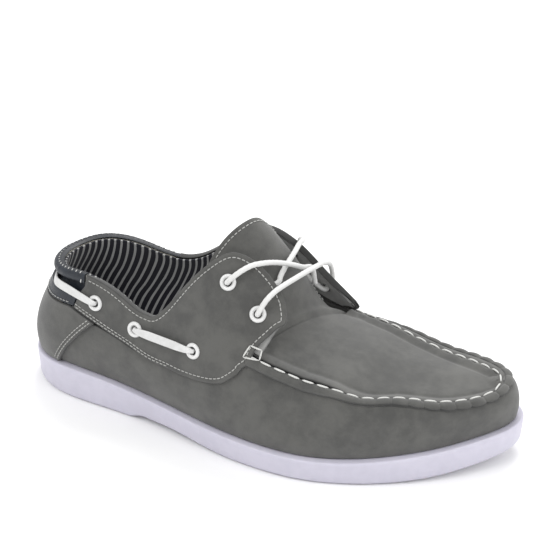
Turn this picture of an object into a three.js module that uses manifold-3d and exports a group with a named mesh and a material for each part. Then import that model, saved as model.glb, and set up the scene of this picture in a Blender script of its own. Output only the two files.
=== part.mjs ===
// Deck shoe (moccasin boat shoe), right foot. Millimetres.
// +X to the toe, +Y to the inner side of the foot, +Z up. The origin is on the ground, under the sole's middle.
import * as THREE from 'three';
import { mergeVertices } from 'three/addons/utils/BufferGeometryUtils.js';
import Module from 'manifold-3d';

const wasm = await Module();
wasm.setup();

// ---------------------------------------------------------------- driving sizes
const SHOE_LENGTH = 300;        // outsole, heel to toe
const BALL_WIDTH = 110;         // outsole, across the ball of the foot
const COLLAR_HEIGHT = 80;       // ground to the back of the collar
const THROAT_HEIGHT = 111;      // ground to the top of the lacing flaps
const TONGUE_HEIGHT = 122;      // ground to the tip of the tongue
const SEAM_HEIGHT = 46;         // ground to the moccasin seam at the toe
const HEEL_THICKNESS = 20;      // outsole under the heel
const BALL_THICKNESS = 14.5;    // outsole under the ball of the foot
const WAIST_LIFT = 3;           // height of the arch in front of the heel block
const TOE_SPRING = 9;           // lift of the sole at the toe
const SOLE_LIP = 2.2;           // sole edge that shows round the upper
const LEATHER = 1.6;            // one layer of upper leather
const LINING = 1.2;             // lining cloth
const BOARD = 2;                // insole board
const FOOTBED = 3.5;            // cushioned footbed
const HEEL_PAD = 2;             // foam pad under the footbed at the heel
const EYELET_FLANGE = 9;        // outer diameter of an eyelet
const EYELET_BORE = 4.6;        // clear hole of an eyelet
const EYELET_WALL = 0.5;        // tube wall of an eyelet
const FLANGE_THICK = 1.0;       // thickness of an eyelet flange
const LACE_DIAMETER = 3;        // round front lace
const THONG_WIDTH = 4.4;        // flat side thong
const THONG_THICK = 1.4;
const COLLAR_PAD = 3.0;         // how far the padded collar stands out
const GAP = 0.3;                // clearance between neighbouring pieces

const HALF = SHOE_LENGTH / 2;
const kx = SHOE_LENGTH / 300;
const ky = BALL_WIDTH / 110;

// ---------------------------------------------------------------- curves
const mix = (a, b, t) => a + (b - a) * t;
const clamp01 = (t) => Math.min(1, Math.max(0, t));
const smooth = (a, b, x) => {
  const t = clamp01((x - a) / (b - a));
  return t * t * (3 - 2 * t);
};

// Closed curve through evenly numbered values: a cubic B-spline whose control values are found by relaxation.
function closedSpline(values) {
  const n = values.length;
  let c = values.slice();
  for (let k = 0; k < 40; k++) {
    c = c.map((v, i) => values[i] + v - (c[(i + n - 1) % n] + 4 * v + c[(i + 1) % n]) / 6);
  }
  return (u) => {
    const w = ((u % n) + n) % n;
    const i = Math.floor(w);
    const t = w - i;
    const [a, b, d, e] = [c[(i + n - 1) % n], c[i % n], c[(i + 1) % n], c[(i + 2) % n]];
    return ((1 - t) ** 3 * a + (3 * t ** 3 - 6 * t * t + 4) * b
      + (-3 * t ** 3 + 3 * t * t + 3 * t + 1) * d + t ** 3 * e) / 6;
  };
}

// Smooth curve y(x) through a list of [x, y], level beyond its ends.
function curve(knots) {
  const slope = knots.map((k, i) => {
    const a = knots[Math.max(0, i - 1)];
    const b = knots[Math.min(knots.length - 1, i + 1)];
    return (b[1] - a[1]) / (b[0] - a[0]);
  });
  return (x) => {
    if (x <= knots[0][0]) return knots[0][1];
    let i = 0;
    while (i < knots.length - 2 && x > knots[i + 1][0]) i++;
    const [[x0, y0], [x1, y1]] = [knots[i], knots[i + 1]];
    if (x >= x1) return y1;
    const h = x1 - x0;
    const t = (x - x0) / h;
    return (2 * t ** 3 - 3 * t * t + 1) * y0 + (t ** 3 - 2 * t * t + t) * h * slope[i]
      + (-2 * t ** 3 + 3 * t * t) * y1 + (t ** 3 - t * t) * h * slope[i + 1];
  };
}

// ---------------------------------------------------------------- the last: outline, top line and ribs
// Stations run round the shoe: heel, outer side (-Y), toe, inner side (+Y). Each row is the sole outline x, y
// and the top line x, y, z, which is the collar, then the edge of the lacing flap, then the moccasin seam.
const [CH, TH, SH] = [COLLAR_HEIGHT, THROAT_HEIGHT, SEAM_HEIGHT];
const STATIONS = [
  [-150, 6.5, -126.5, 7, CH + 0.5],
  [-143.5, -9.5, -124, -5, CH + 1],
  [-127, -22.5, -116, -13.5, CH + 2],
  [-104, -28.5, -101, -18, CH + 3],
  [-78, -32, -78, -22.5, CH - 2.5],
  [-50, -38, -55, -26, CH - 7.5],
  [-20, -46.5, -32, -21, mix(CH - 10, TH, 0.7)],
  [10, -53, -7, -14.5, TH + 1.5],
  [40, -55, 24, -19, TH - 22],
  [68, -49.5, 61, -38, SH + 7.5],
  [94, -38.5, 88, -28.5, SH + 1.5],
  [117, -24.5, 109, -18.5, SH - 0.5],
  [136, -7.5, 126.5, -5.5, SH - 1.5],
  [147, 6.5, 135.5, 6.5, SH - 1],
  [150, 20.5, 137.5, 18, SH],
  [143, 34, 131, 28.5, SH - 1],
  [127, 45, 115, 36, SH - 2],
  [105, 52, 96, 40, SH - 2],
  [78, 55, 70, 43, SH + 3],
  [48, 54, 43, 42, SH + 13],
  [16, 49.5, 16, 37, TH - 26],
  [-16, 43.5, -11, 31, TH - 2],
  [-50, 40.5, -38, 34, mix(CH - 9, TH, 0.5)],
  [-84, 41, -65, 37.5, CH - 7],
  [-113, 38, -93, 34.5, CH - 1.5],
  [-135, 27.5, -112.5, 28, CH + 2],
  [-147, 17.5, -122.5, 18.5, CH + 1],
];
const N = STATIONS.length;
const [outX, outY, topX, topY, topZ] = [0, 1, 2, 3, 4].map((c) => closedSpline(STATIONS.map((row) => row[c])));

const soleTop = curve([[-1, HEEL_THICKNESS - 1.5], [-0.73, HEEL_THICKNESS + 1], [-0.33, HEEL_THICKNESS - 3],
  [0.13, BALL_THICKNESS], [0.53, BALL_THICKNESS + 1], [1, BALL_THICKNESS + TOE_SPRING + 0.5]]);
const soleTopZ = (x) => soleTop(x / HALF);
const groundZ = (x) => TOE_SPRING * clamp01((x / HALF - 0.5) / 0.5) ** 2
  + WAIST_LIFT * smooth(-0.49, -0.41, x / HALF) * (1 - smooth(-0.3, 0.02, x / HALF));

function outline(u, inset = 0) {
  const e = 0.01;
  const [x, y] = [outX(u) * kx, outY(u) * ky];
  const dx = (outX(u + e) - outX(u - e)) * kx;
  const dy = (outY(u + e) - outY(u - e)) * ky;
  const len = Math.hypot(dx, dy);
  return { x: x - (dy / len) * inset, y: y + (dx / len) * inset, nx: dy / len, ny: -dx / len };
}

// Distance from the sole's edge to the inner face of the upper leather where it meets the sole.
const FEATHER_INSET = SOLE_LIP + 2 * LEATHER + GAP;

// A point on the last surface: u is the station, v runs from the sole (0) to the top line (1), d is out along
// the surface normal. Each rib is a cubic Bezier curve that starts upright at the sole.
function lastBase(u, v) {
  const p = outline(u, FEATHER_INSET);
  const front = smooth(20, 90, p.x / kx);
  const waist = Math.exp(-(((p.x / kx - 15) / 38) ** 2));
  const start = new THREE.Vector3(p.x, p.y, soleTopZ(p.x) + GAP);
  const end = new THREE.Vector3(topX(u) * kx, topY(u) * ky, topZ(u));
  const out = new THREE.Vector3(p.nx, p.ny, 0);
  const rise1 = mix(22, 15, front);
  const out1 = mix(7, 2.5, front);
  const rise2 = mix(19, 1.5, front);
  const out2 = mix(4, 6.5, front) + 11 * waist;
  const a = start.clone().addScaledVector(out, out1).add(new THREE.Vector3(0, 0, rise1));
  const b = end.clone().addScaledVector(out, out2).add(new THREE.Vector3(0, 0, -rise2));
  const w = 1 - v;
  return start.multiplyScalar(w ** 3).addScaledVector(a, 3 * w * w * v).addScaledVector(b, 3 * w * v * v)
    .addScaledVector(end, v ** 3);
}
function normalOf(surface, u, v, e = 0.004) {
  const w = clamp01(v);
  const du = surface(u + e, w).sub(surface(u - e, w));
  const dv = surface(u, Math.min(1, w + e)).sub(surface(u, Math.max(0, w - e)));
  return du.cross(dv).normalize();
}
const last = (u, v, d = 0) => lastBase(u, v).addScaledVector(normalOf(lastBase, u, v), d);

// Height (v) on the last of the moccasin seam, and of the lower edge of the saddles.
const seamV = curve([[0, 0.6], [5, 0.52], [6.4, 0.5], [7.1, 0.51], [7.8, 0.535], [8.3, 0.61], [8.65, 0.76],
  [9, 0.95], [9.4, 1], [16.6, 1], [17.6, 0.99], [18.4, 0.92], [19, 0.8], [20, 0.62], [27, 0.62]]);
const saddleV = curve([[2.5, 0.66], [3.2, 0.59], [3.8, 0.55], [4.5, 0.54], [5.2, 0.45], [5.7, 0.37],
  [6.2, 0.34], [6.7, 0.355], [7.1, 0.43], [19.3, 0.5], [19.7, 0.5], [20, 0.46], [20.8, 0.35], [21.3, 0.36], [22, 0.45],
  [22.7, 0.54], [23.4, 0.56], [23.9, 0.6], [24.5, 0.66]]);

// ---------------------------------------------------------------- solids
// A closed body from triangles of points.
function solid(positions, triangles) {
  const geometry = new THREE.BufferGeometry();
  const numbers = positions.flatMap((p) => [p.x, p.y, p.z]);
  geometry.setAttribute('position', new THREE.Float32BufferAttribute(numbers, 3));
  geometry.setIndex(triangles);
  const merged = mergeVertices(geometry, 1e-3);
  const index = merged.index.array;
  const kept = [];
  for (let i = 0; i < index.length; i += 3) {
    const [a, b, c] = [index[i], index[i + 1], index[i + 2]];
    if (a !== b && b !== c && c !== a) kept.push(a, b, c);
  }
  merged.setIndex(kept);
  return merged;
}

// A sheet with thickness: inner and outer faces over a grid (s, t in 0..1) and a rim; ring = closed round in s.
function shell(columns, rows, inner, outer, ring = false) {
  const points = [];
  const at = (face, i, j) => (face * (columns + 1) + (ring ? i % columns : i)) * (rows + 1) + j;
  for (const face of [outer, inner]) {
    for (let i = 0; i <= columns; i++) for (let j = 0; j <= rows; j++) points.push(face(i / columns, j / rows));
  }
  const triangles = [];
  const quad = (a, b, c, d) => triangles.push(a, b, c, a, c, d);
  for (let i = 0; i < columns; i++) {
    for (let j = 0; j < rows; j++) {
      quad(at(0, i, j), at(0, i + 1, j), at(0, i + 1, j + 1), at(0, i, j + 1));
      quad(at(1, i, j), at(1, i, j + 1), at(1, i + 1, j + 1), at(1, i + 1, j));
    }
    quad(at(0, i, 0), at(1, i, 0), at(1, i + 1, 0), at(0, i + 1, 0));
    quad(at(0, i, rows), at(0, i + 1, rows), at(1, i + 1, rows), at(1, i, rows));
  }
  if (!ring) {
    for (let j = 0; j < rows; j++) {
      quad(at(0, 0, j), at(0, 0, j + 1), at(1, 0, j + 1), at(1, 0, j));
      quad(at(0, columns, j), at(1, columns, j), at(1, columns, j + 1), at(0, columns, j + 1));
    }
  }
  return solid(points, triangles);
}

// A piece of the upper: region (s, t) -> [u, v], between two distances from the last surface.
function upperPiece(columns, rows, region, from, to) {
  const face = (d) => (s, t) => {
    const [u, v] = region(s, t);
    return last(u, v, typeof d === 'function' ? d(s, t) : d);
  };
  return shell(columns, rows, face(from), face(to));
}

// A slab that follows the sole outline: rings of [inset, z(x)] from the bottom up, capped with lines across.
function slab(steps, rings, from = 0, to = 1, across = 6) {
  const toe = 13.75;
  const side = (s, k) => (k ? N - s * (N - toe) : s * toe);
  const points = [];
  const point = (s, k, [inset, z]) => {
    const p = outline(side(s, k), inset);
    return new THREE.Vector3(p.x, p.y, z(p.x));
  };
  const station = (i) => from + (to - from) * (1 - Math.cos(Math.PI * i / steps)) / 2;
  const triangles = [];
  const quad = (a, b, c, d) => {
    const k = points.length;
    points.push(a, b, c, d);
    triangles.push(k, k + 1, k + 2, k, k + 2, k + 3);
  };
  const crossLine = (s, ring) => {
    const [a, b] = [point(s, 0, ring), point(s, 1, ring)];
    return Array.from({ length: across + 1 }, (_, j) => {
      const p = a.clone().lerp(b, j / across);
      if (j > 0 && j < across) p.z = ring[1](p.x);
      return p;
    });
  };
  const [bottom, top] = [rings[0], rings[rings.length - 1]];
  for (let i = 0; i < steps; i++) {
    const [s0, s1] = [station(i), station(i + 1)];
    const lines = [[bottom, false], [top, true]];
    for (const [ring, up] of lines) {
      const [p, q] = [crossLine(s0, ring), crossLine(s1, ring)];
      for (let j = 0; j < across; j++) {
        if (up) quad(p[j], q[j], q[j + 1], p[j + 1]);
        else quad(p[j], p[j + 1], q[j + 1], q[j]);
      }
    }
    for (let r = 0; r < rings.length - 1; r++) {
      const [low, high] = [rings[r], rings[r + 1]];
      quad(point(s0, 0, low), point(s1, 0, low), point(s1, 0, high), point(s0, 0, high));
      quad(point(s0, 1, low), point(s0, 1, high), point(s1, 1, high), point(s1, 1, low));
    }
  }
  for (const [s, turned] of [[from, false], [to, true]]) {
    if (s === 0 || s === 1) continue;
    for (let r = 0; r < rings.length - 1; r++) {
      const [low, high] = [crossLine(s, rings[r]), crossLine(s, rings[r + 1])];
      for (let j = 0; j < across; j++) {
        if (turned) quad(low[j], low[j + 1], high[j + 1], high[j]);
        else quad(low[j], high[j], high[j + 1], low[j + 1]);
      }
    }
  }
  return solid(points, triangles);
}

// Booleans.
function toManifold(geometry) {
  const g = geometry.clone();
  for (const name of Object.keys(g.attributes)) if (name !== 'position') g.deleteAttribute(name);
  const m = mergeVertices(g, 1e-4);
  return new wasm.Manifold(new wasm.Mesh({
    numProp: 3,
    vertProperties: new Float32Array(m.attributes.position.array),
    triVerts: new Uint32Array(m.index.array),
  }));
}
function fromManifold(manifold) {
  const mesh = manifold.getMesh();
  const geometry = new THREE.BufferGeometry();
  geometry.setAttribute('position', new THREE.Float32BufferAttribute(mesh.vertProperties, 3));
  geometry.setIndex(Array.from(mesh.triVerts));
  return geometry;
}
function cut(geometry, tools) {
  return fromManifold(tools.reduce((m, t) => m.subtract(toManifold(t)), toManifold(geometry)));
}

// A turned shape (profile of [radius, height], closed) set at a point of the last, its axis along the normal.
function turnedOnLast(profile, u, v, segments) {
  const geometry = new THREE.LatheGeometry(profile.map(([r, h]) => new THREE.Vector2(r, h)), segments);
  const normal = normalOf(lastBase, u, v);
  const turn = new THREE.Quaternion().setFromUnitVectors(new THREE.Vector3(0, 1, 0), normal);
  const at = lastBase(u, v);
  geometry.applyMatrix4(new THREE.Matrix4().makeRotationFromQuaternion(turn).setPosition(at));
  return geometry;
}

// A tube from rings of points, with flat ends.
function tube(points, sides) {
  const rings = points.length / sides;
  const triangles = [];
  for (let i = 0; i < rings - 1; i++) {
    for (let k = 0; k < sides; k++) {
      const [a, b] = [i * sides + k, i * sides + (k + 1) % sides];
      triangles.push(a, b, b + sides, a, b + sides, a + sides);
    }
  }
  const end = (rings - 1) * sides;
  for (let k = 1; k < sides - 1; k++) {
    triangles.push(0, k + 1, k);
    triangles.push(end, end + k, end + k + 1);
  }
  return solid(points, triangles);
}

// ---------------------------------------------------------------- layers and regions of the upper
const TOE = 13.75;              // station of the toe tip
const COVER = LEATHER + 1.8 * GAP;    // inner face of the pieces that lie over the first leather
const SKIN = COVER + LEATHER;   // outer face of those pieces
const HEEL_END = 2.1;           // stations either side of the heel where the stiffener ends
const patchEdge = curve([[0.6, 2.7], [0.8, 2.88], [0.88, 3.0], [1, 3.02]]);   // where patch and saddles meet
const inner = (u) => N - u;     // the matching station on the inner side of the foot
const band = (u0, u1, v0, v1) => (s, t) => {
  const u = mix(u0(t), u1(t), s);
  return [u, mix(v0(u), v1(u), t)];
};
const at = (value) => () => value;
const mirrored = (u) => Math.min(((u % N) + N) % N, N - ((u % N) + N) % N);

// The instep: toe plug (s 0..1) and tongue (s 1..2), from the outer edge (w 0) to the inner edge (w 1).
const plugNear = curve([[0, TOE], [0.2, 12], [0.45, 10.2], [0.72, 8.6], [1, 7.25], [1.3, 6.95], [2, 5.9]]);
const plugFar = curve([[0, TOE], [0.2, 15.5], [0.45, 17.1], [0.72, 18.3], [1, 19.2], [1.3, 19.8], [2, 20.9]]);
const tongueV = curve([[1, 0], [1.25, 0.08], [1.6, 0.62], [2, 1]]);
const instepDepth = curve([[0.7, 0], [1, -1.2], [1.2, -5.2], [2, -6]]);
const crown = curve([[0, 0], [0.1, 1], [0.4, 3.5], [0.8, 8], [1, 12], [1.4, 19],
  [2, TONGUE_HEIGHT - THROAT_HEIGHT + 12]]);
const tongueReach = curve([[1.5, 0], [2, 9]]);
function instep(s, w) {
  const edge = (u) => {
    const v = seamV(u);
    return last(u, mix(v, 0.985, s > 1 ? tongueV(s) : 0), instepDepth(s) - GAP);
  };
  const lean = smooth(0.6, 1.6, s);
  const lift = new THREE.Vector3(mix(0, 0.6, lean), 0, mix(1, 0.8, lean));
  return edge(plugNear(s)).lerp(edge(plugFar(s)), w).addScaledVector(lift, (4 * w * (1 - w)) ** 0.85 * crown(s))
    .addScaledVector(new THREE.Vector3(-0.7, 0, 0.7), tongueReach(s));
}
function instepPiece(columns, rows, region, from, to) {
  const face = (d) => (s, t) => {
    const [a, w] = region(s, t);
    return instep(a, w).addScaledVector(normalOf(instep, a, w), -d);
  };
  return shell(columns, rows, face(to), face(from));
}

// ---------------------------------------------------------------- pieces
const group = new THREE.Group();
const finish = (color, roughness) => new THREE.MeshStandardMaterial({ color, roughness, metalness: 0 });
const MATERIALS = {
  nubuck: finish(0x636360, 0.85),
  navy: finish(0x38404c, 0.6),
  rubber: finish(0xd9d7e2, 0.55),
  cloth: finish(0x2a2c38, 0.9),
  board: finish(0x9a8a70, 0.9),
  foam: finish(0xd8d4c4, 0.95),
  white: finish(0xf0f0ee, 0.4),
  lace: finish(0xf2f2f0, 0.85),
};
function piece(name, geometry, material) {
  geometry.computeVertexNormals();
  const mesh = new THREE.Mesh(geometry, material);
  mesh.name = name;
  group.add(mesh);
}

// Sole and what lies in the shoe
piece('outsole', slab(34, [
  [2.6, groundZ],
  [1.0, (x) => groundZ(x) + 2.5],
  [0, (x) => soleTopZ(x) - 1.5],
  [0.6, soleTopZ],
]), MATERIALS.rubber);
const LINING_FACE = FEATHER_INSET + LINING + 3 * GAP;
const boardTop = (x) => soleTopZ(x) + GAP + BOARD;
piece('insole_board', slab(20, [
  [LINING_FACE, (x) => soleTopZ(x) + GAP],
  [LINING_FACE, boardTop],
], 0, 1, 4), MATERIALS.board);
const padTop = (x, start) => boardTop(x) + GAP + HEEL_PAD * (1 - smooth(start, start + 0.12, x / HALF));
const footbedBase = (x) => padTop(x, -0.34) + GAP;
piece('heel_pad', slab(12, [
  [LINING_FACE + 6, (x) => boardTop(x) + GAP],
  [LINING_FACE + 6, (x) => padTop(x, -0.5)],
], 0, 0.34, 4), MATERIALS.foam);
piece('footbed', slab(20, [
  [LINING_FACE + 0.4, footbedBase],
  [LINING_FACE + 0.4, (x) => footbedBase(x) + FOOTBED],
], 0, 1, 4), MATERIALS.cloth);

// Eyelets: [u, v] of each
const EYELETS = {
  lace_eyelet_outer_upper: [6.89, 0.815],
  lace_eyelet_outer_lower: [7.47, 0.73],
  lace_eyelet_inner_upper: [20.45, 0.83],
  lace_eyelet_inner_lower: [19.78, 0.8],
  side_eyelet_outer_front: [6.1, 0.5],
  side_eyelet_outer_middle: [4.56, 0.775],
  side_eyelet_outer_rear: [3.41, 0.765],
  side_eyelet_inner_front: [21.1, 0.5],
  side_eyelet_inner_middle: [22.55, 0.77],
  side_eyelet_inner_rear: [23.65, 0.765],
};
const boreR = EYELET_BORE / 2;
const barrelR = boreR + EYELET_WALL;
const BARREL_BASE = COVER - 0.1;
const FLANGE_BASE = SKIN + GAP;
const eyeletProfile = [
  [boreR, BARREL_BASE],
  [barrelR, BARREL_BASE],
  [barrelR, FLANGE_BASE],
  [EYELET_FLANGE / 2, FLANGE_BASE],
  [EYELET_FLANGE / 2 - 0.3, FLANGE_BASE + FLANGE_THICK * 0.6],
  [mix(boreR, EYELET_FLANGE / 2, 0.4), FLANGE_BASE + FLANGE_THICK],
  [boreR, FLANGE_BASE + FLANGE_THICK * 0.4],
  [boreR, BARREL_BASE],
];
const holeR = barrelR + 2 * GAP;
const holeProfile = [[0, -LEATHER], [holeR, -LEATHER], [holeR, SKIN + 1], [0, SKIN + 1]];
const holes = (...names) => names.map((name) => turnedOnLast(holeProfile, ...EYELETS[name], 10));
for (const [name, [u, v]] of Object.entries(EYELETS)) {
  piece(name, turnedOnLast(eyeletProfile, u, v, 10), MATERIALS.white);
}

// Heel
const PATCH_BASE = 0.65;
const PATCH_TOP = 0.79;
piece('heel_stiffener', upperPiece(14, 4, band(at(-HEEL_END), at(HEEL_END), at(0.01), at(0.72)), 0, LEATHER),
  MATERIALS.board);
piece('back_counter', upperPiece(22, 4, band((t) => -mix(2.2, 3.4, t), (t) => mix(2.2, 3.4, t), at(0.02),
  (u) => Math.min(PATCH_BASE, saddleV(mirrored(u))) - 0.015), COVER, SKIN), MATERIALS.nubuck);
const patchSide = (t) => patchEdge(mix(PATCH_BASE, PATCH_TOP, t)) - 0.02;
piece('heel_patch', upperPiece(16, 3, band((t) => -patchSide(t), patchSide, at(PATCH_BASE), at(PATCH_TOP)),
  COVER, SKIN), MATERIALS.navy);

// Padded collar: foam inside, a roll of soft leather outside
const ROLL = { from: -3.85, to: 3.0, low: 0.895 };
const foamEnd = 5.1;
piece('collar_foam', upperPiece(26, 2, band(at(-foamEnd), at(foamEnd), at(0.91), at(0.98)), 0.15, LEATHER),
  MATERIALS.foam);
const rollOut = (s, t) => COVER + 0.6 + COLLAR_PAD * Math.sqrt(Math.sin(Math.PI * mix(0.06, 0.94, t)))
  * Math.sqrt(Math.sin(Math.PI * mix(0.04, 0.96, s)));
piece('collar_roll', upperPiece(22, 5, band(at(ROLL.from), at(ROLL.to), at(ROLL.low), at(1)), COVER, rollOut),
  MATERIALS.navy);

// Outer leather
const wallRear = HEEL_END + 0.05;
const wallRegion = band(at(wallRear), at(inner(wallRear)), at(0.01), (u) => seamV(u) - 0.012);
piece('vamp_wall', cut(upperPiece(56, 7, wallRegion, 0, LEATHER),
  holes('side_eyelet_outer_front', 'side_eyelet_inner_front')), MATERIALS.nubuck);
piece('toe_plug', instepPiece(20, 8, (s, t) => [mix(0.035, 0.985, s), mix(0.035, 0.965, t)], -LEATHER, 0),
  MATERIALS.nubuck);
const tongueRegion = (edge) => (s, t) => {
  const w = mix(edge, 1 - edge, t);
  return [mix(1.0, 2 - 0.22 * Math.abs(2 * w - 1) ** 3 - edge, s), w];
};
piece('tongue', instepPiece(12, 10, tongueRegion(0.02), -LEATHER, 0), MATERIALS.nubuck);
const [UNDER_FROM, UNDER_TO] = [-LEATHER - 2 * GAP - LINING, -LEATHER - 2 * GAP];
piece('tongue_lining', instepPiece(12, 8, tongueRegion(0.04), UNDER_FROM, UNDER_TO), MATERIALS.cloth);
piece('plug_lining', instepPiece(14, 6, (s, t) => [mix(0.07, 0.97, s), mix(0.07, 0.93, t)],
  UNDER_FROM, UNDER_TO), MATERIALS.cloth);

// Saddles: the side panels with the lacing flaps, rounded at the flap's front corner
const flapFront = {
  outer: curve([[0, 7.1], [0.07, 7.27], [0.2, 7.41], [0.42, 7.7], [0.65, 7.91], [0.77, 7.98], [0.9, 7.99],
    [1, 7.93]]),
  inner: curve([[0, 19.75], [0.2, 19.5], [0.5, 19.25], [0.83, 19.1], [1, 19.16]]),
};
const rounded = {
  outer: (u) => 0.05 * clamp01((u - 7.7) / 0.3) ** 2,
  inner: (u) => 0.08 * clamp01((19.5 - u) / 0.4) ** 2,
};
const saddleTop = (u) => 1 - (u < N / 2 ? rounded.outer(u) : rounded.inner(u));
const saddleRear = (t) => patchEdge(mix(0.6, 1, t)) + 0.03;
const underRoll = (u) => mix(1, ROLL.low - 0.015, smooth(-0.42, -0.12, u - N - ROLL.from));
const innerTop = (u) => Math.min(saddleTop(u), underRoll(u));
const SADDLE_GRID = [28, 7];
const outerSaddle = band(saddleRear, flapFront.outer, saddleV, saddleTop);
piece('saddle_outer', cut(upperPiece(...SADDLE_GRID, outerSaddle, COVER, SKIN),
  holes(...Object.keys(EYELETS).filter((name) => name.includes('outer')))), MATERIALS.nubuck);
const innerSaddle = band(flapFront.inner, (t) => inner(saddleRear(t)), saddleV, innerTop);
piece('saddle_inner', cut(upperPiece(...SADDLE_GRID, innerSaddle, COVER, SKIN),
  holes(...Object.keys(EYELETS).filter((name) => name.includes('inner')))), MATERIALS.nubuck);
function backing(side, from, to) {
  const region = band(from, to, (u) => seamV(u) + 0.02, (u) => saddleTop(u) - 0.03);
  const names = [`lace_eyelet_${side}_upper`, `lace_eyelet_${side}_lower`, `side_eyelet_${side}_front`];
  return cut(upperPiece(10, 4, region, 0.1, LEATHER - 0.25), holes(...names));
}
const backingRear = foamEnd + 0.05;
const backingFront = (side, t) => flapFront[side](mix(0.3, 1, t));
piece('flap_backing_outer', backing('outer', at(backingRear), (t) => backingFront('outer', t) - 0.06),
  MATERIALS.nubuck);
piece('flap_backing_inner', backing('inner', (t) => backingFront('inner', t) + 0.06, at(inner(backingRear))),
  MATERIALS.nubuck);

// Linings
const lining = (columns, rows, u0, u1, top, under) =>
  upperPiece(columns, rows, band(at(u0), at(u1), at(0.01), top), -under - LINING, -under);
const QUARTER_UNDER = 1.7 * GAP;
piece('quarter_lining_outer', lining(18, 4, 0.02, 6.2, at(0.985), QUARTER_UNDER), MATERIALS.cloth);
piece('quarter_lining_inner', lining(18, 4, 20.95, N - 0.02, at(0.985), QUARTER_UNDER), MATERIALS.cloth);
piece('vamp_lining', lining(36, 3, 6.24, 20.91, (u) => seamV(u) - 0.08, 2 * GAP), MATERIALS.cloth);

// Side thong: in at the front eyelet, out of the middle one, in at the rear one, then round the heel inside
// the collar roll. Knots are [u, v, d].
const OVER_FLANGE = SKIN + GAP + FLANGE_THICK + GAP + THONG_THICK / 2;
const ON_LEATHER = SKIN + GAP + 0.2 + THONG_THICK / 2;
const UNDER = 0.25 + THONG_THICK / 2;
const SQUEEZED = 0.5;           // width share of the thong inside an eyelet
function thongKnots(front, middle, rear, turnIn, side) {
  const between = (a, b, t, d, w = 1) => [mix(a[0], b[0], t), mix(a[1], b[1], t), d, w];
  const raised = (e, d) => [e[0], e[1], d, SQUEEZED];
  return [
    raised(front, UNDER + 0.4),
    raised(front, SKIN),
    raised(front, SKIN + 0.8),
    between(front, middle, 0.08, OVER_FLANGE, 0.8),
    between(front, middle, 0.2, ON_LEATHER + 0.2),
    between(front, middle, 0.5, ON_LEATHER),
    between(front, middle, 0.8, ON_LEATHER + 0.2),
    between(front, middle, 0.93, OVER_FLANGE, 0.8),
    raised(middle, SKIN + 0.8),
    raised(middle, UNDER + 0.8),
    between(middle, rear, 0.1, UNDER, 0.7),
    between(middle, rear, 0.5, UNDER),
    between(middle, rear, 0.9, UNDER, 0.7),
    raised(rear, UNDER + 0.8),
    raised(rear, SKIN + 0.8),
    between(rear, turnIn, 0.07, OVER_FLANGE, 0.8),
    between(rear, turnIn, 0.4, ON_LEATHER),
    between(rear, turnIn, 0.75, ON_LEATHER),
    [turnIn[0], turnIn[1], SKIN - 0.6, 0.9],
    [turnIn[0] - 0.35 * side, turnIn[1], UNDER, 1],
  ];
}
const outerKnots = thongKnots(EYELETS.side_eyelet_outer_front, EYELETS.side_eyelet_outer_middle,
  EYELETS.side_eyelet_outer_rear, [1.35, 0.842], 1);
const innerKnots = thongKnots(EYELETS.side_eyelet_inner_front, EYELETS.side_eyelet_inner_middle,
  EYELETS.side_eyelet_inner_rear, [N - 1.35, 0.842], -1).map(([u, v, d, w]) => [u - N, v, d, w]).reverse();
const heelKnots = [0.6, 0.2, -0.2, -0.6].map((u) => [u, 0.842, UNDER + 0.15, 1]);
const thongRoute = [...outerKnots, ...heelKnots, ...innerKnots];
function flatCord(route, steps) {
  const path = new THREE.CatmullRomCurve3(route.map(([u, v, d]) => last(u, v, d)), false, 'catmullrom', 0.5);
  const surfaceAt = (t) => {
    const x = clamp01(t) * (route.length - 1);
    const i = Math.min(route.length - 2, Math.floor(x));
    return [0, 1, 3].map((c) => mix(route[i][c], route[i + 1][c], x - i));
  };
  const [w, h] = [THONG_WIDTH / 2, THONG_THICK / 2];
  const section = [[-w, 0], [-w * 0.8, -h], [w * 0.8, -h], [w, 0], [w * 0.8, h], [-w * 0.8, h]];
  const points = [];
  const reach = 1.6 / route.length;
  for (let i = 0; i <= steps; i++) {
    const t = i / steps;
    const [u, v, width] = surfaceAt(t);
    const course = lastBase(...surfaceAt(t + reach)).sub(lastBase(...surfaceAt(t - reach)));
    const side = normalOf(lastBase, u, v).cross(course).normalize();
    const along = path.getPoint(clamp01(t + 0.003)).sub(path.getPoint(clamp01(t - 0.003))).normalize();
    const up = along.cross(side).normalize();
    for (const [a, b] of section) {
      points.push(path.getPoint(t).addScaledVector(side, a * width).addScaledVector(up, b));
    }
  }
  return tube(points, section.length);
}
piece('side_thong', flatCord(thongRoute, 80), MATERIALS.lace);

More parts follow.
